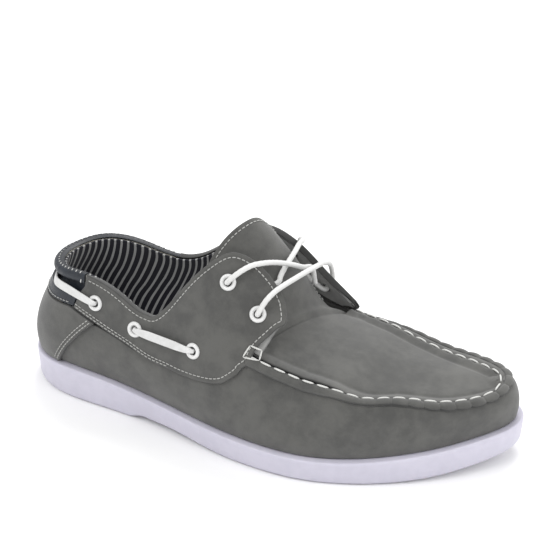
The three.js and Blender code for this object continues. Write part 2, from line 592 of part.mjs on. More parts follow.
// Front lace: a round cord laced through the four flap eyelets, its ends tucked in under the flaps
const onInstep = (s, w, h) => instep(s, w).addScaledVector(
  normalOf(instep, s, w), -h - LACE_DIAMETER / 2);
const eye = (name, d) => last(...EYELETS[name], d);
const laceRoute = [
  onInstep(1.5, 0.1, 0.8),
  onInstep(1.46, 0.24, 0.8),
  onInstep(1.46, 0.4, 0.8),
  onInstep(1.54, 0.58, 3),
  last(20.15, 1.06, 0.5),
  last(20.3, 1.0, 6.6),
  last(20.4, 0.9, 7),
  eye('lace_eyelet_inner_upper', 6.6),
  eye('lace_eyelet_inner_upper', 3),
  eye('lace_eyelet_inner_upper', -1),
  last(20.15, 0.8, -2.9),
  eye('lace_eyelet_inner_lower', -1),
  eye('lace_eyelet_inner_lower', 3),
  eye('lace_eyelet_inner_lower', 6.6),
  last(19.72, 0.9, 7),
  last(19.66, 1.0, 6.6),
  last(19.6, 1.07, 0.5),
  onInstep(1.45, 0.73, 6),
  onInstep(1.4, 0.52, 5),
  onInstep(1.38, 0.32, 5),
  last(7.74, 1.06, 2.2),
  last(7.7, 1.045, 4.9),
  last(7.64, 0.95, 6.5),
  last(7.57, 0.82, 6.9),
  eye('lace_eyelet_outer_lower', 6.4),
  eye('lace_eyelet_outer_lower', 3),
  eye('lace_eyelet_outer_lower', -1.4),
  last(7.2, 0.77, -3.2),
  eye('lace_eyelet_outer_upper', -2),
  eye('lace_eyelet_outer_upper', 2.4),
  eye('lace_eyelet_outer_upper', 6.4),
  last(7.0, 0.88, 6.9),
  last(7.12, 0.96, 6.5),
  last(7.22, 1.045, 4.9),
  last(7.28, 1.06, 2.2),
  onInstep(1.57, 0.26, 5),
  onInstep(1.55, 0.4, 4.2),
  onInstep(1.5, 0.56, 3.6),
  onInstep(1.44, 0.74, 1.4),
  onInstep(1.4, 0.86, 0.8),
];
const roundSection = new THREE.Shape();
roundSection.absarc(0, 0, LACE_DIAMETER / 2, 0, 2 * Math.PI);
const lacePath = new THREE.CatmullRomCurve3(laceRoute, false, 'centripetal');
piece('front_lace', new THREE.ExtrudeGeometry(roundSection, {
  steps: 80,
  curveSegments: 4,
  extrudePath: lacePath,
}), MATERIALS.lace);

export default group;
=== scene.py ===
# %% [markdown]
# # A deck shoe, made piece by piece
# A deck shoe is a moccasin on a rubber sole: a wall of soft leather goes round the foot, a plug closes it on
# top, two saddles carry the laces, and a thong runs through eyelets round the heel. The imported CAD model
# gives the size, the place and the motion of every piece. Here each piece that shows gets its fine surface,
# its stitching and its material. All shapes are worked out in millimetres and turned to metres when they
# become meshes.

import bmesh
import bpy
import numpy as np
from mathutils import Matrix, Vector


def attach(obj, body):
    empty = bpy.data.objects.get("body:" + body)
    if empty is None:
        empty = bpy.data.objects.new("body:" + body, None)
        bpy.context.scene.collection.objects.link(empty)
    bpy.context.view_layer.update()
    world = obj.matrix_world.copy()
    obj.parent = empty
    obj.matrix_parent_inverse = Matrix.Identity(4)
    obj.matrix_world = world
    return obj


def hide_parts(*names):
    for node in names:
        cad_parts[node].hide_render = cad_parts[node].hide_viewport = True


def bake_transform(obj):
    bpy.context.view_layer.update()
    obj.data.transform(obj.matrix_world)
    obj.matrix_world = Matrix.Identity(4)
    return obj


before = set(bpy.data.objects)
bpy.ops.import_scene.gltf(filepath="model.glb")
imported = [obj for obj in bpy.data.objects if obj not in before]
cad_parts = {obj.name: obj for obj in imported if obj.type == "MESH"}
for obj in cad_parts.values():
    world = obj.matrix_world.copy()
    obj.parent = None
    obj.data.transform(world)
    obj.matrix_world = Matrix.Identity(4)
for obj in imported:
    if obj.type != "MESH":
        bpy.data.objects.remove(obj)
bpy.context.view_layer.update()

MM = 0.001
UPPER, TONGUE = "upper_and_sole", "tongue"

# %% [markdown]
# ## Camera
# The shoe is seen from its outer side, from a little in front and above, with a long lens. A camera is a
# place, a direction and a lens: the place is a distance back from a point over the shoe, along an azimuth and
# an elevation. A long lens from a metre away keeps the toe and the heel in proportion.

# %% Camera
AZIMUTH, ELEVATION, DISTANCE = np.radians(22.48), np.radians(28.77), 1.0009
AIM = Vector((0.0079, 0.0065, 0.0887))
back = Vector((np.sin(AZIMUTH) * np.cos(ELEVATION), -np.cos(AZIMUTH) * np.cos(ELEVATION), np.sin(ELEVATION)))
camera = bpy.data.objects.new("camera", bpy.data.cameras.new("camera"))
camera.data.sensor_width, camera.data.lens = 36, 114.09
camera.location = AIM + back * DISTANCE
camera.rotation_mode = "QUATERNION"
camera.rotation_quaternion = (-back).to_track_quat("-Z", "Y")
bpy.context.scene.collection.objects.link(camera)
bpy.context.scene.camera = camera
print("camera at", tuple(round(v, 3) for v in camera.location))

# %% [markdown]
# ## Floor and light
# A product studio is white all round. A big pale floor and a bright even sky give the white ground and soft
# shadow; a large soft lamp above the toe and a weaker one behind model the form of the leather. One hard lamp
# would be simpler, but nubuck under a hard lamp looks like stone.

# %% Floor and light
def paint(name, **constants):
    """A material whose shader has the given constants, with its node tree and its shader."""
    made = bpy.data.materials.new(name)
    made.use_nodes = True
    shader = made.node_tree.nodes["Principled BSDF"]
    for socket, value in constants.items():
        shader.inputs[socket.replace("_", " ")].default_value = value
    return made, made.node_tree, shader


floor_mesh = bpy.data.meshes.new("floor")
floor_mesh.from_pydata([(-4, -4, -0.0004), (4, -4, -0.0004), (4, 4, -0.0004), (-4, 4, -0.0004)], [],
    [(0, 1, 2, 3)])
floor = bpy.data.objects.new("floor", floor_mesh)
bpy.context.scene.collection.objects.link(floor)
floor_mesh.materials.append(paint("floor_paint", Base_Color=(0.93, 0.93, 0.93, 1), Roughness=0.9)[0])

world = bpy.data.worlds.new("studio")
world.use_nodes = True
world.node_tree.nodes["Background"].inputs["Color"].default_value = (1, 1, 1, 1)
world.node_tree.nodes["Background"].inputs["Strength"].default_value = 0.82
bpy.context.scene.world = world


def lamp(name, place, aim, size, power):
    """A square area lamp at a place, turned to a point."""
    light = bpy.data.lights.new(name, "AREA")
    light.size, light.energy = size, power
    holder = bpy.data.objects.new(name, light)
    holder.location = place
    holder.rotation_mode = "QUATERNION"
    holder.rotation_quaternion = (Vector(aim) - Vector(place)).to_track_quat("-Z", "Y")
    bpy.context.scene.collection.objects.link(holder)


lamp("key_lamp", (-0.5, -0.9, 1.3), (0, 0, 0.05), 0.9, 8)
lamp("toe_lamp", (1.1, -0.2, 0.8), (0.05, 0, 0.05), 0.7, 5)
lamp("back_lamp", (-0.1, 0.9, 1.4), (0, 0, 0.05), 0.9, 15)
bpy.context.scene.view_settings.view_transform = "Standard"

# %% [markdown]
# ## The last
# A shoemaker shapes leather over a last, a solid foot form. The same idea works here: one surface, last(u,
# v), with u running round the shoe through 27 stations and v climbing from the sole to the top line. Every
# piece is then a region of that surface and two distances from it, so neighbouring pieces fit like cloth over
# a form.

# %% Curves
def curve(knots):
    """A smooth y(x) through knots: cubic Hermite pieces, each knot's slope taken from its two neighbours,
    level beyond the ends."""
    x, y = np.array(knots, float).T
    before, after = np.r_[0, np.arange(len(x) - 1)], np.r_[np.arange(1, len(x)), len(x) - 1]
    slope = (y[after] - y[before]) / (x[after] - x[before])

    def value(at):
        i = np.clip(np.searchsorted(x, at, side="right") - 1, 0, len(x) - 2)
        h = x[i + 1] - x[i]
        s = np.clip((at - x[i]) / h, 0, 1)
        return ((2 * s**3 - 3 * s**2 + 1) * y[i] + (s**3 - 2 * s**2 + s) * h * slope[i]
                + (3 * s**2 - 2 * s**3) * y[i + 1] + (s**3 - s**2) * h * slope[i + 1])

    return value


def closed_curve(values):
    """A closed uniform cubic B-spline through evenly numbered values. Its control values c are found by
    relaxation: c is moved by the miss, value minus (left + 4 c + right) / 6."""
    control = np.array(values, float)
    for _ in range(40):
        control = control + values - (np.roll(control, 1) + 4 * control + np.roll(control, -1)) / 6

    def value(u):
        n = len(control)
        i = np.floor(np.mod(u, n)).astype(int)
        t = np.mod(u, n) - i
        a, b, c, d = control[(i - 1) % n], control[i % n], control[(i + 1) % n], control[(i + 2) % n]
        return ((1 - t)**3 * a + (3 * t**3 - 6 * t**2 + 4) * b + (-3 * t**3 + 3 * t**2 + 3 * t + 1) * c + t**3 * d) / 6

    return value


def mix(a, b, t):
    return a + (b - a) * t


def smooth(a, b, x):
    """0 before a, 1 after b, and 3 t^2 - 2 t^3 between."""
    t = np.clip((x - a) / (b - a), 0, 1)
    return t * t * (3 - 2 * t)


print("halfway through 0, 1, 4:", curve([(0, 0), (1, 1), (2, 4)])(1.5))

# %% Sizes and stations
HALF = 150.0
COLLAR, THROAT, SEAM = 80.0, 111.0, 46.0
HEEL_THICK, BALL_THICK, TOE_SPRING, WAIST_LIFT = 20.0, 14.5, 9.0, 3.0
LEATHER, GAP, SOLE_LIP, LINING = 1.6, 0.3, 2.2, 1.2
COVER = LEATHER + 1.8 * GAP     # inner face of the pieces that lie over the first leather
SKIN = COVER + LEATHER          # their outer face
N, TOE = 27, 13.75              # stations round the shoe, and the station of the toe tip
STATIONS = np.array([
    [-150, 6.5, -126.5, 7, COLLAR + 0.5], [-143.5, -9.5, -124, -5, COLLAR + 1],
    [-127, -22.5, -116, -13.5, COLLAR + 2],
    [-104, -28.5, -101, -18, COLLAR + 3], [-78, -32, -78, -22.5, COLLAR - 2.5],
    [-50, -38, -55, -26, COLLAR - 7.5],
    [-20, -46.5, -32, -21, mix(COLLAR - 10, THROAT, 0.7)], [10, -53, -7, -14.5, THROAT + 1.5],
    [40, -55, 24, -19, THROAT - 22], [68, -49.5, 61, -38, SEAM + 7.5], [94, -38.5, 88, -28.5, SEAM + 1.5],
    [117, -24.5, 109, -18.5, SEAM - 0.5], [136, -7.5, 126.5, -5.5, SEAM - 1.5],
    [147, 6.5, 135.5, 6.5, SEAM - 1],
    [150, 20.5, 137.5, 18, SEAM], [143, 34, 131, 28.5, SEAM - 1], [127, 45, 115, 36, SEAM - 2],
    [105, 52, 96, 40, SEAM - 2], [78, 55, 70, 43, SEAM + 3], [48, 54, 43, 42, SEAM + 13],
    [16, 49.5, 16, 37, THROAT - 26], [-16, 43.5, -11, 31, THROAT - 2],
    [-50, 40.5, -38, 34, mix(COLLAR - 9, THROAT, 0.5)],
    [-84, 41, -65, 37.5, COLLAR - 7], [-113, 38, -93, 34.5, COLLAR - 1.5],
    [-135, 27.5, -112.5, 28, COLLAR + 2],
    [-147, 17.5, -122.5, 18.5, COLLAR + 1],
])
out_x, out_y, top_x, top_y, top_z = [closed_curve(column) for column in STATIONS.T]
sole_line = curve([(-1, HEEL_THICK - 1.5), (-0.73, HEEL_THICK + 1), (-0.33, HEEL_THICK - 3),
    (0.13, BALL_THICK),
                   (0.53, BALL_THICK + 1), (1, BALL_THICK + TOE_SPRING + 0.5)])
seam_v = curve([(0, 0.6), (5, 0.52), (6.4, 0.5), (7.1, 0.51), (7.8, 0.53), (8.3, 0.615), (8.65, 0.765),
    (9, 0.975), (9.3, 1.055),
                (9.7, 1.055), (10.3, 1), (11, 0.965), (11.7, 0.95), (12.9, 0.955), (13.7, 0.97), (14.7, 1),
                (16.6, 1),
                (17.6, 0.99), (18.4, 0.92), (19, 0.8), (20, 0.62), (27, 0.62)])
saddle_v = curve([(2.5, 0.66), (3.2, 0.59), (3.8, 0.55), (4.5, 0.54), (5.2, 0.45), (5.7, 0.37), (6.2, 0.335),
    (6.65, 0.345),
                  (7, 0.403), (7.1, 0.43), (7.12, 0.436), (19.3, 0.5), (19.7, 0.5), (20, 0.46), (20.8, 0.35),
                  (21.3, 0.36), (22, 0.45), (22.7, 0.54),
                  (23.4, 0.56), (23.9, 0.6), (24.5, 0.66)])
print("stations", len(STATIONS), "skin", SKIN)

# %% The surface of the last
def sole_top(x):
    return sole_line(x / HALF)


def sole_ground(x):
    """Height of the tread: level, raised in a low arch before the heel block, and sprung up at the toe."""
    arch = smooth(-0.49, -0.41, x / HALF) * (1 - smooth(-0.3, 0.02, x / HALF))
    return TOE_SPRING * np.clip((x / HALF - 0.5) / 0.5, 0, 1)**2 + WAIST_LIFT * arch


def outline(u, inset=0.0):
    """The sole's edge at station u, moved inwards by inset, with its outward normal: x, y, nx, ny."""
    x, y = out_x(u), out_y(u)
    dx, dy = out_x(u + 0.01) - out_x(u - 0.01), out_y(u + 0.01) - out_y(u - 0.01)
    size = np.hypot(dx, dy)
    return x - dy / size * inset, y + dx / size * inset, dy / size, -dx / size


def rib(u, v):
    """The bare last. Each rib is a cubic Bezier curve from the sole's edge, where it starts upright, to
    the top line."""
    x, y, nx, ny = outline(u, SOLE_LIP + 2 * LEATHER + GAP)
    front = smooth(20, 90, x)
    waist = np.exp(-(((x - 15) / 38)**2))
    out = np.stack([nx, ny, 0 * nx], -1)
    up = np.array([0, 0, 1.0])
    start = np.stack([x, y, sole_top(x) + GAP], -1)
    end = np.stack([top_x(u), top_y(u), top_z(u)], -1)
    a = start + out * mix(7, 2.5, front)[..., None] + up * mix(22, 15, front)[..., None]
    b = end + out * (mix(4, 6.5, front) + 11 * waist)[..., None] - up * mix(19, 1.5, front)[..., None]
    v = np.asarray(v)[..., None]
    w = 1 - v
    return start * w**3 + a * 3 * w * w * v + b * 3 * w * v * v + end * v**3


def normal_of(surface, u, v, e=0.004):
    """The unit normal of a surface: the cross product of its steps along u and v."""
    v = np.clip(v, 0, 1)
    along = surface(u + e, v) - surface(u - e, v)
    across = surface(u, np.minimum(1, v + e)) - surface(u, np.maximum(0, v - e))
    n = np.cross(along, across)
    return n / np.linalg.norm(n, axis=-1, keepdims=True)


def last(u, v, d=0.0):
    """The point at distance d out from the last."""
    u, v = np.broadcast_arrays(np.asarray(u, float), np.asarray(v, float))
    return rib(u, v) + normal_of(rib, u, v) * np.asarray(d)[..., None]


def last_up(u, v):
    u, v = np.broadcast_arrays(np.asarray(u, float), np.asarray(v, float))
    return normal_of(rib, u, v)


plug_near = curve([(0, TOE), (0.2, 12), (0.45, 10.2), (0.72, 8.6), (1, 7.25), (1.3, 6.95), (2, 5.9)])
plug_far = curve([(0, TOE), (0.2, 15.5), (0.45, 17.1), (0.72, 18.3), (1, 19.2), (1.3, 19.8), (2, 20.9)])
tongue_v = curve([(1, 0), (1.25, 0.08), (1.6, 0.62), (2, 1)])
instep_depth = curve([(0.7, 0), (1, -1.2), (1.2, -5.2), (2, -6)])
crown = curve([(0, 0), (0.1, 1), (0.4, 3.5), (0.8, 8), (1, 12), (1.4, 19), (2, 23)])
tongue_reach = curve([(1.5, 0), (2, 9)])


def arch_over(s, w):
    """The instep: toe plug for s from 0 to 1, tongue for s from 1 to 2, from the outer edge (w 0) to the
    inner one (w 1). Two points of the last are joined by a line, lifted in the middle by a flat-topped
    arch."""
    down_the_wall = np.where(s > 1, tongue_v(s), 0)

    def side(u):
        return last(u, mix(seam_v(u), 0.985, down_the_wall), instep_depth(s) - GAP)

    lean = smooth(0.6, 1.6, s)
    lift = np.stack([mix(0, 0.6, lean), 0 * lean, mix(1, 0.8, lean)], -1)
    swell = (np.clip(4 * w * (1 - w), 0, 1)**0.85 * crown(s))[..., None]
    far = np.array([-0.7, 0, 0.7]) * tongue_reach(s)[..., None]
    return mix(side(plug_near(s)), side(plug_far(s)), np.asarray(w)[..., None]) + lift * swell + far


def instep(s, w, d=0.0):
    """The point at height d above the instep."""
    s, w = np.broadcast_arrays(np.asarray(s, float), np.asarray(w, float))
    return arch_over(s, w) - normal_of(arch_over, s, w) * np.asarray(d)[..., None]


print("heel", last(0.0, 1.0).round(1), "toe", last(TOE, 0.0).round(1), "tongue tip",
    instep(2.0, 0.5).round(1))

# %% [markdown]
# ## From arrays to pieces
# A piece is a grid of points on its outer face, the same grid on its inner face, and a rim that joins them.
# Rows crowd together near the rim, where the cut edge is rounded. Each point stores how far it lies from the
# edge of its piece, which the leather uses for its darker cut edge, and a UV map in metres, which cloth and
# cords use.

# %% Mesh helpers
def build(name, points, faces, finish, nodes=(), body=UPPER, slot=None, edge=None, uv=None):
    """Puts points (in mm) and faces into a smooth-shaded object that rides on a body and stands for CAD
    nodes."""
    mesh = bpy.data.meshes.new(name)
    mesh.from_pydata((np.asarray(points, float) * MM).tolist(), [], [list(map(int, f)) for f in faces])
    mesh.polygons.foreach_set("use_smooth", np.ones(len(mesh.polygons), bool))
    if edge is not None:
        mesh.attributes.new("edge", "FLOAT", "POINT").data.foreach_set("value",
            np.asarray(edge, np.float32).ravel())
    if uv is not None:
        corner = np.empty(len(mesh.loops), np.int32)
        mesh.loops.foreach_get("vertex_index", corner)
        mesh.uv_layers.new(name="UVMap").data.foreach_set("uv", (uv[corner] * MM).astype(np.float32).ravel())
    mesh.materials.append(finish)
    made = bpy.data.objects.new(name, mesh)
    bpy.context.scene.collection.objects.link(made)
    if body:
        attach(made, body)
    if nodes:
        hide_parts(*nodes)
    return made


def weld(piece, reach=0.01):
    """Joins points closer than reach mm, which closes seams and poles."""
    work = bmesh.new()
    work.from_mesh(piece.data)
    bmesh.ops.remove_doubles(work, verts=work.verts, dist=reach * MM)
    work.to_mesh(piece.data)
    work.free()
    return piece


def crowded(count, length):
    """Parameters from 0 to 1 for a line of that length in mm, with six extra ones near each end."""
    near = np.array([0, 0.12, 0.32, 0.65, 1.1, 1.8]) / length
    return np.r_[near, np.linspace(near[-1], 1 - near[-1], count)[1:-1], 1 - near[::-1]]


def along(points, axis):
    """Distance walked along each grid line, starting at 0."""
    step = np.linalg.norm(np.diff(points, axis=axis), axis=-1)
    start = np.zeros_like(np.take(step, [0], axis=axis))
    return np.concatenate([start, np.cumsum(step, axis=axis)], axis=axis)


def panel(name, place, inner, outer, columns, rows, finish, nodes=(), round_off=0.6, relief=None, flip=False,
        **more):
    """A sheet with thickness. place(s, t, d) gives its points for s, t in 0..1 at distance d from its base
    surface; inner and outer are the distances of its two faces, numbers or functions of (s, t).
    relief(s, t, edge) is added to the outer face, and both faces draw back over the last round_off mm
    before the edge along a quarter circle."""
    k = np.linspace(0, 1, 50)
    half = 0 * k + 0.5
    lengths = [along(place(k, half, 0 * k), 0)[-1], along(place(half, k, 0 * k), 0)[-1]]
    S, T = np.meshgrid(crowded(columns, lengths[0]), crowded(rows, lengths[1]), indexing="ij")
    low, high = [f(S, T) if callable(f) else f + 0 * S for f in (inner, outer)]
    base = place(S, T, high)
    walk_s, walk_t = along(base, 0), along(base, 1)
    edge = np.minimum(np.minimum(walk_s, walk_s[-1:] - walk_s), np.minimum(walk_t, walk_t[:, -1:] - walk_t))
    drop = round_off - np.sqrt(np.maximum(0, round_off**2 - (round_off - np.minimum(edge, round_off))**2))
    swell = relief(S, T, edge) if relief else 0
    top = place(S, T, high - drop + swell)
    under = place(S, T, low + 0.4 * drop)
    faces = shell_faces(*S.shape)
    uv = np.stack([np.broadcast_to(walk_s[:, [S.shape[1] // 2]], S.shape), walk_t], -1).reshape(-1, 2)
    points = np.concatenate([top.reshape(-1, 3), under.reshape(-1, 3)])
    return build(name, points, faces[:, ::-1] if flip else faces, finish, nodes,
                 edge=np.r_[edge.ravel(), edge.ravel()], uv=np.r_[uv, uv], **more)


def shell_faces(columns, rows):
    """Quads of two grids laid back to back and joined round their rim, as an (n, 4) array of point
    numbers."""
    index = np.arange(columns * rows).reshape(columns, rows)
    lower = index + columns * rows
    a, b, c, d = index[:-1, :-1], index[1:, :-1], index[1:, 1:], index[:-1, 1:]
    e, f, g, h = lower[:-1, :-1], lower[:-1, 1:], lower[1:, 1:], lower[1:, :-1]

    def rim(top_edge, under_edge):
        return np.stack([top_edge[:-1], under_edge[:-1], under_edge[1:], top_edge[1:]], -1)

    return np.concatenate([
        np.stack([a, b, c, d], -1).reshape(-1, 4), np.stack([e, f, g, h], -1).reshape(-1, 4),
        rim(index[:, 0], lower[:, 0]), rim(index[::-1, -1], lower[::-1, -1]),
        rim(index[::-1, 0], lower[::-1, 0]), rim(index[-1], lower[-1])])


def on_last(region):
    """place() for a piece of the upper: region(s, t) gives its u and v."""
    return lambda s, t, d: last(*region(s, t), d)


def on_instep(region):
    return lambda s, t, d: instep(*region(s, t), d)


def band(u0, u1, v0, v1):
    """The region between two end lines, u as functions of t, and two side lines, v as functions of u."""
    def region(s, t):
        u = mix(u0(t), u1(t), s)
        return u, mix(v0(u), v1(u), t)
    return region


def at(value):
    return lambda x: value + 0 * x


print("faces of a 4 by 3 shell:", len(shell_faces(4, 3)))

# %% [markdown]
# ## Finishes
# Nubuck is brushed leather: no shine, a soft cloudy tone, a fine nap, and cut edges that are darker. Navy
# leather is smooth, with a fine grain. The rubber is pale and even. Clouds, grain, weave and the cut edge are
# used by more than one material, so each is a node group that gives out a tone, a mask or a height, and the
# shader stays outside.

# %% Node helpers
def node(tree, kind, inputs=None, **settings):
    """Adds a node; inputs maps a socket's name or number to a value or to another node's output."""
    made = tree.nodes.new(kind)
    for key, value in settings.items():
        setattr(made, key, value)
    for key, value in (inputs or {}).items():
        if isinstance(value, bpy.types.NodeSocket):
            tree.links.new(value, made.inputs[key])
        else:
            made.inputs[key].default_value = value
    return made


def maths(tree, operation, a, b=0.0, c=0.0):
    return node(tree, "ShaderNodeMath", {0: a, 1: b, 2: c}, operation=operation).outputs[0]


def ramp(tree, value, low, high, to_low=0.0, to_high=1.0):
    """Maps low..high to to_low..to_high, smoothly and clamped."""
    return node(tree, "ShaderNodeMapRange", {"Value": value, "From Min": low, "From Max": high,
        "To Min": to_low,
                "To Max": to_high}, interpolation_type="SMOOTHSTEP").outputs["Result"]


def blend_colours(tree, factor, a, b):
    made = tree.nodes.new("ShaderNodeMix")
    made.data_type = "RGBA"
    for socket, value in ((made.inputs[0], factor), (made.inputs[6], a), (made.inputs[7], b)):
        if isinstance(value, bpy.types.NodeSocket):
            tree.links.new(value, socket)
        else:
            socket.default_value = value
    return made.outputs[2]


def group(name, inputs, outputs):
    """A node group with named sockets: its tree, its input node and its output node."""
    tree = bpy.data.node_groups.new(name, "ShaderNodeTree")
    for label, (kind, value) in inputs.items():
        socket = tree.interface.new_socket(label, in_out="INPUT", socket_type=kind)
        if value is not None:
            socket.default_value = value
    for label, kind in outputs.items():
        tree.interface.new_socket(label, in_out="OUTPUT", socket_type=kind)
    return tree, tree.nodes.new("NodeGroupInput"), tree.nodes.new("NodeGroupOutput")


FLOAT, VECTOR = "NodeSocketFloat", "NodeSocketVector"


def noise(tree, place, scale, detail=2.0, rough=0.5):
    return node(tree, "ShaderNodeTexNoise", {"Vector": place, "Scale": scale, "Detail": detail,
                "Roughness": rough}).outputs["Fac"]


def use(tree, shared, **inputs):
    """Places a shared group in a material."""
    made = node(tree, "ShaderNodeGroup", node_tree=shared)
    for key, value in inputs.items():
        socket = made.inputs[key.replace("_", " ")]
        if isinstance(value, bpy.types.NodeSocket):
            tree.links.new(value, socket)
        else:
            socket.default_value = value
    return made


print("node helpers ready")

# %% Shared effects
clouds, g_in, g_out = group("clouds", {"Place": (VECTOR, None), "Size": (FLOAT, 0.03)}, {"Tone": FLOAT})
size = maths(clouds, "DIVIDE", 1.0, g_in.outputs["Size"])
wide = noise(clouds, g_in.outputs["Place"], size, 2.0, 0.55)
small = noise(clouds, g_in.outputs["Place"], maths(clouds, "MULTIPLY", size, 4.5), 3.0, 0.6)
clouds.links.new(ramp(clouds, maths(clouds, "MULTIPLY_ADD", small, 0.45,
    maths(clouds, "MULTIPLY", wide, 0.55)),
                      0.34, 0.66), g_out.inputs["Tone"])

nap, g_in, g_out = group("nap", {"Place": (VECTOR, None)}, {"Height": FLOAT, "Tone": FLOAT})
fibres = noise(nap, g_in.outputs["Place"], 2600.0, 2.0, 0.7)
pores = node(nap, "ShaderNodeTexVoronoi", {"Vector": g_in.outputs["Place"],
    "Scale": 900.0}).outputs["Distance"]
nap.links.new(maths(nap, "MULTIPLY_ADD", pores, 0.35, fibres), g_out.inputs["Height"])
nap.links.new(fibres, g_out.inputs["Tone"])

grain, g_in, g_out = group("grain", {"Place": (VECTOR, None), "Scale": (FLOAT, 900.0)}, {"Height": FLOAT})
bent = node(grain, "ShaderNodeVectorMath", {0: g_in.outputs["Place"], 1: node(grain, "ShaderNodeVectorMath", {
    0: node(grain, "ShaderNodeTexNoise", {"Vector": g_in.outputs["Place"], "Scale": 350.0}).outputs["Color"],
    3: 0.0012}, operation="SCALE").outputs[0]}, operation="ADD").outputs[0]
cells = node(grain, "ShaderNodeTexVoronoi", {"Vector": bent, "Scale": g_in.outputs["Scale"]},
             feature="DISTANCE_TO_EDGE").outputs["Distance"]
grain.links.new(ramp(grain, cells, 0.0, 0.25), g_out.inputs["Height"])

cut_edge, g_in, g_out = group("cut edge", {"Width": (FLOAT, 0.8)}, {"Mask": FLOAT})
edge_distance = node(cut_edge, "ShaderNodeAttribute", attribute_name="edge").outputs["Fac"]
cut_edge.links.new(maths(cut_edge, "SUBTRACT", 1.0, ramp(cut_edge, maths(cut_edge, "DIVIDE", edge_distance,
                   g_in.outputs["Width"]), 0.0, 1.0)), g_out.inputs["Mask"])

weave, g_in, g_out = group("weave", {"Across": (FLOAT, 0.0), "Up": (FLOAT, 0.0), "Pitch": (FLOAT, 0.0006)},
                           {"Height": FLOAT})
turns = maths(weave, "DIVIDE", 6.2832, g_in.outputs["Pitch"])
warp = maths(weave, "SINE", maths(weave, "MULTIPLY", g_in.outputs["Across"], turns))
weft = maths(weave, "SINE", maths(weave, "MULTIPLY", g_in.outputs["Up"], turns))
weave.links.new(maths(weave, "MULTIPLY_ADD", maths(weave, "MULTIPLY", warp, weft), 0.5, 0.5),
    g_out.inputs["Height"])


def place_of(tree):
    return node(tree, "ShaderNodeTexCoord").outputs["Object"]


def uv_of(tree):
    apart = node(tree, "ShaderNodeSeparateXYZ", {0: node(tree, "ShaderNodeTexCoord").outputs["UV"]})
    return apart.outputs["X"], apart.outputs["Y"]


def bump(tree, shader, height, depth, strength=1.0):
    made = node(tree, "ShaderNodeBump", {"Height": height, "Distance": depth, "Strength": strength})
    tree.links.new(made.outputs["Normal"], shader.inputs["Normal"])


print("groups", [g.name for g in bpy.data.node_groups])

# %% Leathers
def nubuck_leather(name, dark, light, edge):
    """Brushed leather: two tones in soft clouds, a fine nap, and a darker cut edge."""
    made, tree, shader = paint(name, Roughness=0.9, Sheen_Weight=0.25, Sheen_Roughness=0.6,
        Specular_IOR_Level=0.25)
    here = place_of(tree)
    tone = use(tree, clouds, Place=here, Size=0.034).outputs["Tone"]
    fuzz = use(tree, nap, Place=here)
    speckled = maths(tree, "MULTIPLY_ADD", maths(tree, "SUBTRACT", fuzz.outputs["Tone"], 0.5), 0.5, tone)
    body_colour = blend_colours(tree, speckled, dark, light)
    mask = use(tree, cut_edge, Width=0.9).outputs["Mask"]
    tree.links.new(blend_colours(tree, maths(tree, "MULTIPLY", mask, 0.75), body_colour, edge),
                   shader.inputs["Base Color"])
    bump(tree, shader, fuzz.outputs["Height"], 0.00012, 0.55)
    return made


def smooth_leather(name, dark, light, roughness=0.42, edge=0.6):
    """Smooth dyed leather with a fine cell grain and a little gloss; edge is how much its cut edge
    darkens."""
    made, tree, shader = paint(name, Specular_IOR_Level=0.45)
    here = place_of(tree)
    tone = use(tree, clouds, Place=here, Size=0.012).outputs["Tone"]
    cell = use(tree, grain, Place=here, Scale=1100.0).outputs["Height"]
    mask = use(tree, cut_edge, Width=0.5).outputs["Mask"]
    colour = blend_colours(tree, tone, dark, light)
    tree.links.new(blend_colours(tree, maths(tree, "MULTIPLY", mask, edge), colour, (0.012, 0.013, 0.016, 1)),
                   shader.inputs["Base Color"])
    tree.links.new(maths(tree, "MULTIPLY_ADD", tone, 0.12, roughness - 0.06), shader.inputs["Roughness"])
    bump(tree, shader, cell, 0.00008, 0.5)
    return made


nubuck = nubuck_leather("grey_nubuck", (0.060, 0.060, 0.0575, 1), (0.096, 0.0955, 0.0895, 1),
    (0.026, 0.026, 0.026, 1))
navy = smooth_leather("navy_leather", (0.010, 0.013, 0.019, 1), (0.019, 0.024, 0.033, 1))
# The flap backing is the flesh side of the grey nubuck, made three to four times lighter than the outer nubuck: partly
# the flesh side's own paler nap, mostly painted light standing in for light on the flaps' inner faces, which the lamps
# leave in shade.
flesh_side_and_painted_light = nubuck_leather("flap_lining_painted_light", (0.26, 0.26, 0.255, 1), (0.33, 0.33, 0.32, 1),
    (0.1, 0.1, 0.1, 1))
print("leathers", nubuck.name, navy.name)

# %% Rubber, cloth, cords and thread
rubber, tree, shader = paint("white_rubber", Roughness=0.5, Specular_IOR_Level=0.4, Subsurface_Weight=0.08,
                             Subsurface_Radius=(0.004, 0.004, 0.005))
tone = use(tree, clouds, Place=place_of(tree), Size=0.02).outputs["Tone"]
tree.links.new(blend_colours(tree, tone, (0.53, 0.515, 0.60, 1), (0.57, 0.553, 0.64, 1)),
    shader.inputs["Base Color"])
bump(tree, shader, noise(tree, place_of(tree), 1500.0, 2.0), 0.00005, 0.4)

